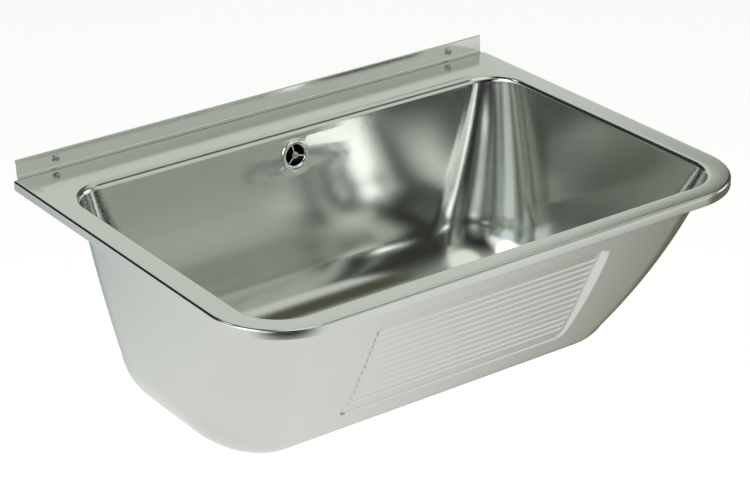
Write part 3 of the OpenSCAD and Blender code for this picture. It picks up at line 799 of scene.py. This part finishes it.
        def round_place(i: int, radius: float, drop: float) -> Vector:
            """Returns the place of vertex i on a circle about the waste."""
            turn = start + math.tau * i / count
            return middle + Vector((radius * math.cos(turn), radius * math.sin(turn), -drop))

        loops = []
        for step in range(1, 9):
            share = step / 9
            loops.append([outline[i].lerp(round_place(i, shelf, 0), share)
                          - Vector((0, 0, self.floor_fall * smooth_step(share)))
                          for i in range(count)])
        ends = (shelf, 0), (self.waste_hole, self.seat_depth)
        for radius, drop in (ends[0], *self.seat_rings, ends[1]):
            loops.append([round_place(i, radius, self.floor_fall + drop) for i in range(count)])
        return loops

    def cut_overflow(self, bm: bmesh.types.BMesh) -> None:
        """Opens the round hole of the overflow in the rear wall.

        Args:
            bm: The mesh of the skin.
        """
        reach = self.overflow_columns[-1] + 1e-4
        slope = math.radians(self.rear_angle)
        start = self.rear.wall(0)
        y = self.rear_y - start[0] - (self.overflow_drop - start[1]) * math.tan(slope)
        centre = Vector((0, y, DECK_Z - self.overflow_drop))
        faces = [f for f in bm.faces if (f.calc_center_median() - centre).length < 1.5 * reach
                 and abs(f.calc_center_median().x) < reach
                 and abs(f.calc_center_median().z - centre.z) < reach]
        bmesh.ops.delete(bm, geom=faces, context="FACES")
        rim = {v for e in bm.edges if e.is_boundary for v in e.verts
               if (v.co - centre).length < 1.6 * reach}
        up = Vector((0, -math.sin(slope), math.cos(slope)))
        turn = {v: math.atan2((v.co - centre).dot(up), v.co.x) for v in rim}
        loop = sorted(rim, key=turn.get)
        for radius in (*self.overflow_rings, self.overflow_hole):
            loop_turns = [turn[v] for v in loop]
            loop = drawn_on(bm, loop, [centre + radius * (Vector((math.cos(t), 0, 0))
                                                          + up * math.sin(t)) for t in loop_turns])
            turn = dict(zip(loop, loop_turns))

    def raise_upstand(self, bm: bmesh.types.BMesh) -> None:
        """Trims the sheet behind the deck and bends the upstand and its hem up from there.

        Args:
            bm: The mesh of the skin.
        """
        bmesh.ops.bisect_plane(bm, geom=bm.verts[:] + bm.edges[:] + bm.faces[:], dist=1e-7,
                               plane_co=(0, self.deck_start, 0), plane_no=(0, 1, 0),
                               clear_outer=True)
        half = self.width / 2 - self.upstand_inset
        cut_x, cut_y = self.deck_cut
        for side in (-1, 1):
            flat = [f for f in bm.faces if f.calc_center_median().y > cut_y
                    and side * f.calc_center_median().x > cut_x
                    and all(abs(v.co.z - DECK_Z) < 1e-7 for v in f.verts)]
            geom = set(flat) | {e for f in flat for e in f.edges} | {v for f in flat for v in f.verts}
            bmesh.ops.bisect_plane(bm, geom=list(geom), dist=1e-7, plane_co=(side * half, 0, 0),
                                   plane_no=(1, 0, 0))
        back = [e for e in bm.edges if e.is_boundary and all(
            abs(v.co.y - self.deck_start) < 1e-6 and abs(v.co.z - DECK_Z) < 1e-6
            and abs(v.co.x) < half + 1e-5 for v in e.verts)]
        back = self.bend(bm, back, (self.deck_start, DECK_Z + self.upstand_bend), 90, 8)
        rise = self.upstand_height - self.hem_roll - self.upstand_bend
        back = self.pull(bm, back, rise)
        back = self.bend(bm, back, (self.upstand_face + self.hem_roll,
                                    DECK_Z + self.upstand_height - self.hem_roll), -180, 10)
        self.pull(bm, back, self.hem_roll - self.hem_height)

    @staticmethod
    def bend(bm: bmesh.types.BMesh, edges: list[bmesh.types.BMEdge],
             centre: tuple[float, float], angle: float, steps: int) -> list[bmesh.types.BMEdge]:
        """Spins edges about a line along X.

        Args:
            bm: The mesh of the skin.
            edges: The edges that are bent on.
            centre: Y and Z of the line.
            angle: Turn in degrees.
            steps: Number of steps.

        Returns:
            The last edges of the bend.
        """
        verts = {v for e in edges for v in e.verts}
        made = bmesh.ops.spin(bm, geom=edges + list(verts), cent=(0, *centre), axis=(1, 0, 0),
                              dvec=(0, 0, 0), angle=math.radians(angle), steps=steps,
                              use_merge=False, use_duplicate=False)
        return [e for e in made["geom_last"] if isinstance(e, bmesh.types.BMEdge)]

    @staticmethod
    def pull(bm: bmesh.types.BMesh, edges: list[bmesh.types.BMEdge],
             rise: float) -> list[bmesh.types.BMEdge]:
        """Draws edges straight up, or down if rise is below zero.

        Args:
            bm: The mesh of the skin.
            edges: The edges that are drawn.
            rise: How far.

        Returns:
            The drawn edges.
        """
        made = bmesh.ops.extrude_edge_only(bm, edges=edges)["geom"]
        verts = [v for v in made if isinstance(v, bmesh.types.BMVert)]
        bmesh.ops.translate(bm, verts=verts, vec=(0, 0, rise))
        return [e for e in made if isinstance(e, bmesh.types.BMEdge)]

    def build(self) -> bpy.types.Object:
        """Draws, presses, trims and thickens the sheet.

        Returns:
            The basin.
        """
        bm = bmesh.new()
        loops = self.loft(bm)
        rows = self.rows()
        for row, loop in zip(rows, loops):
            if row.zone is Zone.WALL:
                for vert in loop:
                    if vert.co.y < self.front_wall_y and abs(vert.co.x) < self.board.width / 2:
                        self.board.press(vert)
        self.cut_overflow(bm)
        self.raise_upstand(bm)
        bmesh.ops.remove_doubles(bm, verts=bm.verts, dist=MERGE)
        bmesh.ops.recalc_face_normals(bm, faces=bm.faces)
        floor = min(bm.faces, key=lambda f: f.calc_center_median().z)
        if floor.normal.z < 0:
            bmesh.ops.reverse_faces(bm, faces=bm.faces)
        bmesh.ops.solidify(bm, geom=bm.faces[:], thickness=SHEET)
        return make_piece("drawn_basin", bm, SATIN_STEEL, ("basin",))


# ---------------------------------------------------------------------------- fittings


def carved(bm: bmesh.types.BMesh, cutters: list[bmesh.types.BMesh]) -> bmesh.types.BMesh:
    """Cuts closed shapes out of a closed shape.

    Args:
        bm: The shape that is cut, which is freed.
        cutters: The shapes that are taken away, which are freed.

    Returns:
        What is left.
    """
    temporary = []
    for shape in [bm] + cutters:
        mesh = bpy.data.meshes.new("carving")
        shape.to_mesh(mesh)
        shape.free()
        temporary.append(stand("carving", mesh))
    target = temporary[0]
    for cutter in temporary[1:]:
        cut = target.modifiers.new("cut", "BOOLEAN")
        cut.operation, cut.solver, cut.object = "DIFFERENCE", "EXACT", cutter
    mesh = bpy.data.meshes.new_from_object(target.evaluated_get(
        bpy.context.evaluated_depsgraph_get()))
    result = bmesh.new()
    result.from_mesh(mesh)
    bpy.data.meshes.remove(mesh)
    for obj in temporary:
        bpy.data.meshes.remove(obj.data)
    return result


def joined(shapes: list[bmesh.types.BMesh]) -> bmesh.types.BMesh:
    """Puts several shapes into one mesh.

    Args:
        shapes: The shapes, which are freed.

    Returns:
        The mesh that holds them all.
    """
    whole = bmesh.new()
    for shape in shapes:
        mesh = bpy.data.meshes.new("joining")
        shape.to_mesh(mesh)
        shape.free()
        whole.from_mesh(mesh)
        bpy.data.meshes.remove(mesh)
    return whole


def placed(bm: bmesh.types.BMesh, place: Matrix) -> bmesh.types.BMesh:
    """Moves and turns a shape, and returns it."""
    bmesh.ops.transform(bm, matrix=place, verts=bm.verts)
    return bm


def bar(length: float, width: float, height: float, soft: float) -> bmesh.types.BMesh:
    """Makes a bar with softened edges, from the origin along X.

    Args:
        length: Its length.
        width: Its width along Y.
        height: Its height from Z = 0 up.
        soft: Width of its bevelled edges.

    Returns:
        The bar.
    """
    bm = bmesh.new()
    bmesh.ops.create_cube(bm, size=1)
    bmesh.ops.translate(bm, verts=bm.verts, vec=(0.5, 0, 0.5))
    bmesh.ops.scale(bm, verts=bm.verts, vec=(length, width, height))
    bmesh.ops.bevel(bm, geom=bm.edges[:], offset=soft, segments=2, profile=0.5,
                    affect="EDGES", material=-1)
    return bm


def refined(node: str, finish: Finish, soft: float = 0.0003,
            body: str = "sink") -> bpy.types.Object:
    """Stands a merged copy with soft edges in for a CAD node.

    Args:
        node: The CAD node.
        finish: The copy's finish.
        soft: Width of its bevelled edges.
        body: CAD body that it rides on.

    Returns:
        The copy.
    """
    bm = bmesh.new()
    bm.from_mesh(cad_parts[node].data)
    bmesh.ops.remove_doubles(bm, verts=bm.verts, dist=2e-6)
    bmesh.ops.dissolve_limit(bm, angle_limit=math.radians(1), verts=bm.verts, edges=bm.edges)
    obj = make_piece("fine_" + node, bm, finish, (node,), body, sharp=35)
    edges = obj.modifiers.new("soft edges", "BEVEL")
    edges.width, edges.segments = soft, 2
    edges.limit_method, edges.angle_limit = "ANGLE", math.radians(35)
    edges.harden_normals = True
    return obj


@dataclass(frozen=True)
class PanScrew:
    """A pan-head screw along +Z with a cross recess: the head above Z = 0, the shank below."""

    thread: float
    head: float
    height: float
    length: float
    turn: float = 20
    recess_size: Triple = (0.56, 0.13, 1.3)
    recess_taper: Triple = (0.5, 0.7, 1)

    def build(self) -> bmesh.types.BMesh:
        """Turns the screw and cuts its recess.

        Returns:
            The screw's mesh.
        """
        half, shank = self.head / 2, self.thread / 2
        dome = [(half * math.cos(a) ** 0.8, self.height * (0.3 + 0.7 * math.sin(a)))
                for a in (math.radians(10 * i) for i in range(9))]
        profile = [(0, -self.length), (shank - 0.0004, -self.length), (shank, 0.0006 - self.length),
                   (shank, 0), (half - 0.0001, 0), (half, 0.0001)] + dome + [(0, self.height)]
        return carved(turned_profile(profile, 64), [self.recess(t) for t in (0, 90)])

    def recess(self, turn: float) -> bmesh.types.BMesh:
        """Makes one tapered bar of the cross that is cut into the head.

        Args:
            turn: Its turn about the screw's axis, in degrees.

        Returns:
            The bar.
        """
        bm = bmesh.new()
        bmesh.ops.create_cube(bm, size=1)
        long, wide, deep = self.recess_size
        size = (self.head * long, self.head * wide, self.height * deep)
        bmesh.ops.scale(bm, verts=bm.verts, vec=size)
        low = [v for v in bm.verts if v.co.z < 0]
        bmesh.ops.scale(bm, verts=low, vec=self.recess_taper)
        spin = Matrix.Rotation(math.radians(turn + self.turn), 4, "Z")
        return placed(bm, Matrix.Translation((0, 0, self.height * 1.02)) @ spin)


@dataclass
class WallFixings:
    """The hanging brackets behind the upstand, and the screws that hold the basin to them."""

    offset: float = 0.2495
    height: float = 0.011
    face: float = -0.005
    screw: PanScrew = PanScrew(thread=0.005, head=0.0088, height=0.0024, length=0.0045)

    def build(self) -> None:
        """Adds screws and brackets."""
        upright = Matrix.Rotation(math.pi / 2, 4, "X")
        screws = [placed(self.screw.build(), Matrix.Translation(
            (side * self.offset, self.face, DECK_Z + self.height)) @ upright) for side in (-1, 1)]
        make_piece("cross_screws", joined(screws), SCREW_STEEL, ("fixing_screws",))
        for node in ("bracket_left", "bracket_right"):
            refined(node, ZINC, 0.0005)


@dataclass
class Overflow:
    """The overflow: ring with spokes and screw, elbow behind the wall, ribbed hose and its nuts."""

    rear_angle: float = 3
    wall_y: float = -0.066113
    drop: float = 0.030
    outer: float = 0.017
    bore: float = 0.0115
    height: float = 0.0028
    spoke_turn: float = -15
    spoke_width: float = 0.0014
    hub: float = 0.0038
    hub_top: float = 0.0016
    hub_bore: float = 0.0026
    spoke_height: float = 0.0016
    spoke_overlap: float = 0.0008
    elbow_face: float = -0.003
    elbow_depth: float = 0.031
    outlet: float = 0.034
    washer: float = 0.002
    inlet_reach: float = 0.051
    inlet_drop: float = 0.020
    seat_z: float = -0.202
    hose_rib: float = 0.012
    hose_bore: float = 0.009
    hose_pitch: float = 0.005
    hose_bend: float = 0.045
    collar: float = 0.0025
    screw: PanScrew = PanScrew(thread=0.005, head=0.007, height=0.0019, length=0.029, turn=32)

    def place(self) -> Matrix:
        """Returns the overflow's own frame: Z points out of the rear wall into the bowl."""
        turn = Matrix.Rotation(math.radians(90 - self.rear_angle), 4, "X")
        return Matrix.Translation((0, self.wall_y, DECK_Z - self.drop)) @ turn

    def build(self) -> None:
        """Adds all pieces of the overflow."""
        self.build_ring()
        place = self.place() @ Matrix.Translation((0, 0, self.hub_top))
        make_piece("hub_screw", placed(self.screw.build(), place), SCREW_STEEL,
                   ("overflow_screw",))
        self.build_hose()
        for node, finish, soft in (
                ("overflow_gasket", RUBBER, 0.0003), ("overflow_elbow", DARK_PLASTIC, 0.0004),
                ("elbow_insert", BRASS, 0.0002), ("hose_washer_top", RUBBER, 0.0002),
                ("hose_washer_low", RUBBER, 0.0002), ("hose_nut_top", DARK_PLASTIC, 0.0003),
                ("hose_nut_low", DARK_PLASTIC, 0.0003)):
            refined(node, finish, soft)

    def build_ring(self) -> None:
        """Adds the chrome ring with its three spokes and its hub."""
        spigot, rise = self.bore + 0.0015, self.height
        profile = rounded([
            (self.bore, -0.005), (spigot, -0.005), (spigot, 0), (self.outer, 0),
            (self.outer, rise * 0.35), (self.outer - 0.0007, rise * 0.8),
            (self.outer - 0.0020, rise), (spigot, rise), (self.bore, rise * 0.45)], 0.0007, 4)
        hub = rounded([(self.hub_bore, -0.001), (self.hub, -0.001), (self.hub, self.hub_top),
                       (self.hub_bore, self.hub_top)], 0.0005, 3)
        shapes = [turned_profile(profile, 96), turned_profile(hub, 48)]
        reach = self.bore + 0.0005 - self.hub + self.spoke_overlap
        for turn in (0, 120, 240):
            spin = Matrix.Rotation(math.radians(turn + self.spoke_turn), 4, "Z")
            shift = Matrix.Translation((self.hub - self.spoke_overlap, 0, -0.0006))
            spoke = bar(reach, self.spoke_width, self.spoke_height, 0.0003)
            shapes.append(placed(spoke, spin @ shift))
        make_piece("spoked_ring", placed(joined(shapes), self.place()), CHROME, ("overflow_ring",))

    def hose_ends(self) -> tuple[Vector, Vector]:
        """Returns where the hose starts at the elbow and ends at the waste body."""
        start = self.place() @ Vector((0, -self.outlet - self.washer,
                                       self.elbow_face - self.elbow_depth / 2))
        return start, Vector((0, WASTE_Y + self.inlet_reach + self.washer,
                              self.seat_z - self.inlet_drop))

    def hose_place(self, along: float) -> Matrix:
        """Frame of the hose at a distance along it.

        Args:
            along: Distance from the elbow.

        Returns:
            Its place, with Z along the hose.
        """
        start, end = self.hose_ends()
        turn, tangent, upper, meet = self.hose_route()
        arc = self.hose_bend * turn
        angle = turn * (1 - min(max((along - upper) / arc, 0), 1))
        ahead = Vector((0, -math.cos(angle), -math.sin(angle)))
        if along <= upper:
            centre = start + ahead * along
        elif along >= upper + arc:
            centre = Vector((0, meet - tangent, end.z)) + ahead * (along - upper - arc)
        else:
            centre = Vector((0, meet - tangent + self.hose_bend * math.sin(angle),
                             end.z + self.hose_bend * (1 - math.cos(angle))))
        across = Vector((1, 0, 0))
        frame_axes = Matrix((across, ahead.cross(across), ahead)).transposed()
        return Matrix.Translation(centre) @ frame_axes.to_4x4()

    def hose_route(self) -> tuple[float, float, float, float]:
        """Works out the hose's one bend.

        Returns:
            Its angle, its tangent length, the straight length above it, and the Y at which the
            two straight stretches would meet.
        """
        start, end = self.hose_ends()
        turn, lean = math.radians(90 - self.rear_angle), math.radians(self.rear_angle)
        tangent, fall = self.hose_bend * math.tan(turn / 2), start.z - end.z
        return turn, tangent, fall / math.cos(lean) - tangent, start.y - fall * math.tan(lean)

    def hose_length(self) -> float:
        """Returns the length of the hose between its two washers."""
        turn, tangent, upper, meet = self.hose_route()
        return upper + self.hose_bend * turn + meet - tangent - self.hose_ends()[1].y

    def hose_stations(self) -> list[tuple[float, float]]:
        """Returns distance along the hose and radius of each ring of its outside."""
        length, cuff = self.hose_length(), self.hose_rib - 0.0008
        ribs = int((length - 4 * self.hose_rib) / self.hose_pitch)
        first = (length - ribs * self.hose_pitch) / 2
        flange = self.hose_rib + 0.0006
        stations = [(0, flange - 0.0004), (0.0004, flange), (self.collar - 0.0004, flange),
                    (self.collar, flange - 0.0004), (self.collar + 0.0001, cuff),
                    (first - 0.001, cuff), (first, cuff - 0.0006)]
        for i in range(ribs):
            for share in (0.10, 0.20, 0.32, 0.45, 0.55, 0.68, 0.80, 0.90):
                swell = math.sin(math.pi * share) ** 2.0
                stations.append((first + (i + share) * self.hose_pitch,
                                 self.hose_rib - 0.0017 + 0.0017 * min(swell * 1.15, 1)))
        return stations + [(length - along, radius) for along, radius in reversed(stations[:7])]

    def build_hose(self) -> None:
        """Adds the ribbed hose with its plain cuffs and its bore."""
        bm = bmesh.new()
        length, sides = self.hose_length(), 32
        stations = self.hose_stations()
        stations += [(length * (1 - i / 24), self.hose_bore) for i in range(25)]
        rings = []
        for along, radius in stations + stations[:1]:
            place = self.hose_place(along)
            rings.append([place @ Vector((radius * math.cos(t), radius * math.sin(t), 0))
                          for t in (math.tau * j / sides for j in range(sides))])
        verts = ring_of(bm, rings[0])
        for ring in rings[1:]:
            verts = drawn_on(bm, verts, ring)
        bmesh.ops.remove_doubles(bm, verts=bm.verts, dist=MERGE)
        bmesh.ops.recalc_face_normals(bm, faces=bm.faces)
        make_piece("ribbed_hose", bm, DARK_PLASTIC, ("overflow_hose",), sharp=50)


@dataclass
class Waste:
    """The waste in the floor: dished flange with cross bars, seals, moulded body, screw and plug."""

    seat_z: float = -0.202
    flange: float = 0.039
    seal: float = 0.001
    thick: float = 0.0012
    cup: float = 0.0275
    cup_depth: float = 0.012
    cone_low: float = -0.006
    hub: float = 0.006
    bar_height: float = 0.003
    plug: float = 0.027
    cap_top: float = 0.0032
    groove: float = 0.020
    pull: float = 0.0085
    pull_height: float = 0.015
    hub_bore: float = 0.00305
    stem_bore: float = 0.00255
    bar_width: float = 0.003
    bar_lift: float = 0.0005
    screw_foot: float = 0.0286

    def place(self) -> Matrix:
        """Returns the frame of the waste: Z up from the seat in the floor."""
        return Matrix.Translation((0, WASTE_Y, self.seat_z))

    def build(self) -> None:
        """Adds all pieces of the waste."""
        self.build_flange()
        head = self.bar_lift - self.cup_depth + self.bar_height
        length = self.screw_foot + head + 0.0005
        screw = PanScrew(thread=0.006, head=0.0102, height=0.0026, length=length, turn=10).build()
        place = self.place() @ Matrix.Translation((0, 0, head))
        make_piece("waste_cross_screw", placed(screw, place), SCREW_STEEL, ("waste_screw",))
        for node, finish, soft in (("flange_seal", RUBBER, 0.0002), ("body_seal", RUBBER, 0.0003),
                                   ("waste_body", DARK_PLASTIC, 0.0004),
                                   ("waste_insert", BRASS, 0.0002)):
            refined(node, finish, soft)
        self.build_plug()

    def build_flange(self) -> None:
        """Adds the flange, its cone and cup, and the cross bars with their hub."""
        low, top = self.seal, self.seal + self.thick
        cone_top, cone_foot = self.cup + 0.0008, self.cup - 0.005
        profile = rounded([
            (self.flange, low), (self.flange, low + self.thick * 0.6), (self.flange - 0.0015, top),
            (cone_top + 0.0010, top), (cone_top, top - 0.0002), (cone_foot, self.cone_low),
            (cone_foot, -self.cup_depth), (cone_foot + 0.0015, -self.cup_depth),
            (cone_foot + 0.0015, self.cone_low + 0.0004), (self.cup, -0.0006),
            (cone_top + 0.0006, low)], 0.0006, 3)
        bars_low = self.bar_lift - self.cup_depth
        hub = rounded([(self.hub_bore, 0), (self.hub, 0), (self.hub, self.bar_height),
                       (self.hub_bore, self.bar_height)], 0.0005, 3)
        shapes = [turned_profile(profile, 128),
                  placed(turned_profile(hub, 48), Matrix.Translation((0, 0, bars_low)))]
        for turn in (45, 135, 225, 315):
            spin = Matrix.Rotation(math.radians(turn), 4, "Z")
            shift = Matrix.Translation((self.hub - 0.001, 0, bars_low))
            cross = bar(cone_foot + 0.0017 - self.hub, self.bar_width, self.bar_height, 0.0004)
            shapes.append(placed(cross, spin @ shift))
        strainer = placed(joined(shapes), self.place())
        make_piece("waste_strainer", strainer, TURNED_STEEL, ("waste_flange",))

    def build_plug(self) -> None:
        """Adds the plug's cap, its rubber ring and its pull, which lift out together."""
        r, low, top = self.plug, -0.00345, 0.0004
        cap = rounded([
            (self.stem_bore, low - 0.0012), (self.groove + 0.002, low - 0.0012),
            (self.groove + 0.002, low - 0.00005), (self.groove, low - 0.00005),
            (self.groove, top + 0.00005), (r - 0.0006, top + 0.00005), (r, top + 0.0006),
            (r - 0.0004, top + 0.0011), (r * 0.8, self.cap_top - 0.0006),
            (r * 0.45, self.cap_top), (self.stem_bore, self.cap_top)], 0.0008, 4)
        cap = placed(turned_profile(cap, 128), self.place())
        make_piece("plug_cap", cap, TURNED_STEEL, ("waste_plug",), "plug")
        refined("plug_seal", RUBBER, 0.0002, "plug")
        base, tip, head = self.cap_top, self.cap_top + self.pull_height, self.pull
        pull = rounded([
            (0.0025, low), (0.0025, base), (head * 0.7, base), (head * 0.66, base + 0.0010),
            (head * 0.38, base + 0.0032), (head * 0.36, tip - 0.0070),
            (head * 0.60, tip - 0.0050), (head * 0.95, tip - 0.0036), (head, tip - 0.0024),
            (head * 0.94, tip - 0.0010), (head * 0.60, tip - 0.0002)], 0.0012, 4)
        pull = [(0, low)] + pull + [(0, tip)]
        pull = placed(turned_profile(pull, 96), self.place())
        make_piece("plug_knob", pull, CHROME, ("plug_pull",), "plug")


# ---------------------------------------------------------------------------- studio


@dataclass(frozen=True)
class StudioCamera:
    """The camera at the photograph's viewing angle."""

    place: Triple = (-1.2742, -2.0426, 0.9930)
    azimuth: float = 34.834
    elevation: float = 25.287
    roll: float = -1.127
    lens: float = 115.6

    def build(self) -> None:
        """Adds the camera and makes it the scene's."""
        data = bpy.data.cameras.new("studio camera")
        data.lens = self.lens
        camera = stand("studio camera", data)
        az, el, roll = (math.radians(a) for a in (self.azimuth, self.elevation, self.roll))
        forward = Vector((math.sin(az) * math.cos(el), math.cos(az) * math.cos(el), -math.sin(el)))
        right = Vector((math.cos(az), -math.sin(az), 0))
        up = right.cross(forward)
        level = right * math.cos(roll) + up * math.sin(roll)
        upright = up * math.cos(roll) - right * math.sin(roll)
        turn = Matrix((level, upright, -forward)).transposed().to_4x4()
        camera.matrix_world = Matrix.Translation(self.place) @ turn
        bpy.context.scene.camera = camera


@dataclass(frozen=True)
class Softbox:
    """A soft rectangular lamp that looks at a point."""

    name: str
    place: Triple
    target: Triple
    size: tuple[float, float]
    power: float

    def build(self) -> None:
        """Adds the lamp."""
        data = bpy.data.lights.new(self.name, "AREA")
        data.shape = "RECTANGLE"
        data.size, data.size_y = self.size
        data.energy = self.power
        lamp = stand(self.name, data)
        lamp.location = self.place
        lamp.visible_glossy = False
        aim = Vector(self.target) - Vector(self.place)
        lamp.rotation_euler = aim.to_track_quat("-Z", "Y").to_euler()


@dataclass(frozen=True)
class SkyPatch:
    """A round, soft-edged patch of the studio's surroundings, which the metal mirrors.

    Azimuth is counted from +Y towards +X, and all angles are in degrees.
    """

    name: str
    azimuth: float
    elevation: float
    inner: float
    outer: float
    color: Color

    def direction(self) -> Vector:
        """Returns the unit vector towards the middle of the patch."""
        az, el = math.radians(self.azimuth), math.radians(self.elevation)
        return Vector((math.sin(az) * math.cos(el), math.cos(az) * math.cos(el), math.sin(el)))


@dataclass(frozen=True)
class PaintedReflectionShade:
    """A round, soft-edged patch of painted shade in the floor's painted glow, which only the metal
    mirrors.
    """

    name: str
    place: Triple
    inner: float
    outer: float
    color: Color


DARK: Color = (0.02, 0.02, 0.02)
DIM: Color = (0.08, 0.08, 0.05)
DAYLIGHT: Color = (1.20, 1.22, 1.20)
BLUE_DAYLIGHT: Color = (1.25, 1.40, 1.45)
SKY: Color = (2.60, 2.65, 2.60)


@dataclass
class Studio:
    """Floor, lamp, surroundings and camera."""

    floor_z: float = -0.80
    floor_reach: float = 6
    floor_color: Color = (0.85, 0.86, 0.83)
    floor_lift: float = 0.45
    lamps: tuple[Softbox, ...] = (
        Softbox("ceiling softbox", (-0.25, -0.55, 1.9), (0, -0.25, 0), (1.1, 0.8), 16),
    )
    soft_light: Color = (0.55, 0.55, 0.55)
    base: Color = (0.70, 0.73, 0.67)
    patches: tuple[SkyPatch, ...] = (
        SkyPatch("ceiling", 0, 90, 10, 45, (0.60, 0.63, 0.58)),
        SkyPatch("dim right side", 90, 0, 25, 50, DIM),
        SkyPatch("doorway", 60, 30, 10, 20, DIM),
        SkyPatch("small window on the right", 100, 10, 10, 20, BLUE_DAYLIGHT),
        SkyPatch("lintel over it", 135, 45, 5, 15, DIM),
        SkyPatch("dark room behind the camera", 225, 0, 30, 70, DARK),
        SkyPatch("large window on the left", 270, 0, 35, 50, DAYLIGHT),
        SkyPatch("sky in that window", 270, 35, 15, 20, SKY),
        SkyPatch("blind over it", 285, 65, 15, 25, DARK),
        SkyPatch("curtain beside it", 300, 35, 10, 20, DARK),
        SkyPatch("lamp beside the curtain", 315, 45, 5, 10, SKY),
        SkyPatch("beam", 340, 50, 10, 15, DARK),
        SkyPatch("shelf ahead", 330, 15, 20, 35, DARK),
        SkyPatch("reflector over the camera", 180, 60, 15, 25, (1.00, 1.05, 0.95)),
    )
    # Painted shade for reflections: darker patches of the floor's painted glow, unseen by the camera.
    painted_reflection_shades: tuple[PaintedReflectionShade, ...] = (
        PaintedReflectionShade("painted shade in reflections to the right", (3.5, 0.5, -0.8), 2.5, 3.5, (0.15, 0.15, 0.10)),
        PaintedReflectionShade("shadow of the camera", (-1.5, -3.0, -0.8), 1.0, 2.5, DARK),
        PaintedReflectionShade("painted shade in reflections ahead", (0, 2.5, -0.8), 1.0, 2.0, (0.35, 0.40, 0.45)),
    )

    def build(self) -> None:
        """Builds the whole studio."""
        StudioCamera().build()
        for lamp in self.lamps:
            lamp.build()
        self.build_world()
        self.build_floor()
        bpy.context.scene.view_settings.view_transform = "Standard"

    def build_world(self) -> None:
        """Builds the surroundings: patches of soft light, and plain white to the camera."""
        world = bpy.data.worlds.new("studio surroundings")
        bpy.context.scene.world = world
        world.use_nodes = True
        sheet = NodeSheet(world.node_tree)
        sheet.nodes.clear()
        place = sheet.add("TexCoord").outputs["Generated"]
        color = (*self.base, 1)
        for patch in self.patches:
            dot = sheet.add("VectorMath", {0: place, 1: patch.direction()}, operation="DOT_PRODUCT")
            edge = [math.cos(math.radians(angle)) for angle in (patch.outer, patch.inner)]
            color = sheet.mix(sheet.mask(dot.outputs["Value"], *edge), color, (*patch.color, 1))
        seen = sheet.add("LightPath").outputs
        even = sheet.mix(seen["Is Glossy Ray"], (*self.soft_light, 1), color)
        white = sheet.mix(seen["Is Camera Ray"], even, (1, 1, 1, 1))
        back = sheet.add("Background", {"Color": white})
        sheet.add("OutputWorld", {"Surface": back.outputs[0]})

    def build_floor(self) -> None:
        """Builds the plain pale floor under the sink."""
        bm = bmesh.new()
        bmesh.ops.create_grid(bm, x_segments=2, y_segments=2, size=self.floor_reach)
        bmesh.ops.translate(bm, verts=bm.verts, vec=(0, 0, self.floor_z))
        mesh = bpy.data.meshes.new("floor")
        bm.to_mesh(mesh)
        bm.free()
        mesh.materials.append(self.floor_material())
        floor = stand("floor", mesh)

    def floor_material(self) -> bpy.types.Material:
        """Builds the floor's material: white to the camera, but for the object's shadow, and a painted
        glow to reflections.
        """
        material = bpy.data.materials.new("pale floor")
        material.use_nodes = True
        sheet = NodeSheet(material.node_tree)
        seen = sheet.add("LightPath").outputs
        black, lifted = (0, 0, 0, 1), (*[self.floor_lift] * 3, 1)
        lift = sheet.mix(seen["Is Camera Ray"], black, lifted)
        # For glossy rays the base colour is black and the floor glows with painted light: the floor's
        # colour with its painted shade patches, in place of a lit floor.
        sheet.feed(sheet.nodes["Principled BSDF"], {
            "Roughness": 0.7, "Specular IOR Level": 0.2, "Emission Strength": 1,
            "Base Color": sheet.mix(seen["Is Glossy Ray"], (*self.floor_color, 1), black),
            "Emission Color": sheet.mix(seen["Is Glossy Ray"], lift, self.painted_floor_glow(sheet))})
        material.cycles.emission_sampling = "NONE"
        return material

    def painted_floor_glow(self, sheet: NodeSheet) -> bpy.types.NodeSocket:
        """Lays the painted darker patches over the floor's colour, as a painted glow for reflections.

        Args:
            sheet: The floor material's nodes.

        Returns:
            The colour of the glow, painted light that the metal mirrors.
        """
        place = sheet.add("TexCoord").outputs["Object"]
        color = (*self.floor_color, 1)
        for spot in self.painted_reflection_shades:
            apart = sheet.add("VectorMath", {0: place, 1: spot.place}, operation="DISTANCE")
            mask = sheet.mask(apart.outputs["Value"], spot.outer, spot.inner)
            color = sheet.mix(mask, color, (*spot.color, 1))
        return color


# ---------------------------------------------------------------------------- the whole sink


def main() -> None:
    """Builds the studio and the sink."""
    logging.basicConfig(level=logging.INFO)
    Studio().build()
    Basin().build()
    WallFixings().build()
    Overflow().build()
    Waste().build()


if __name__ == "__main__":
    main()
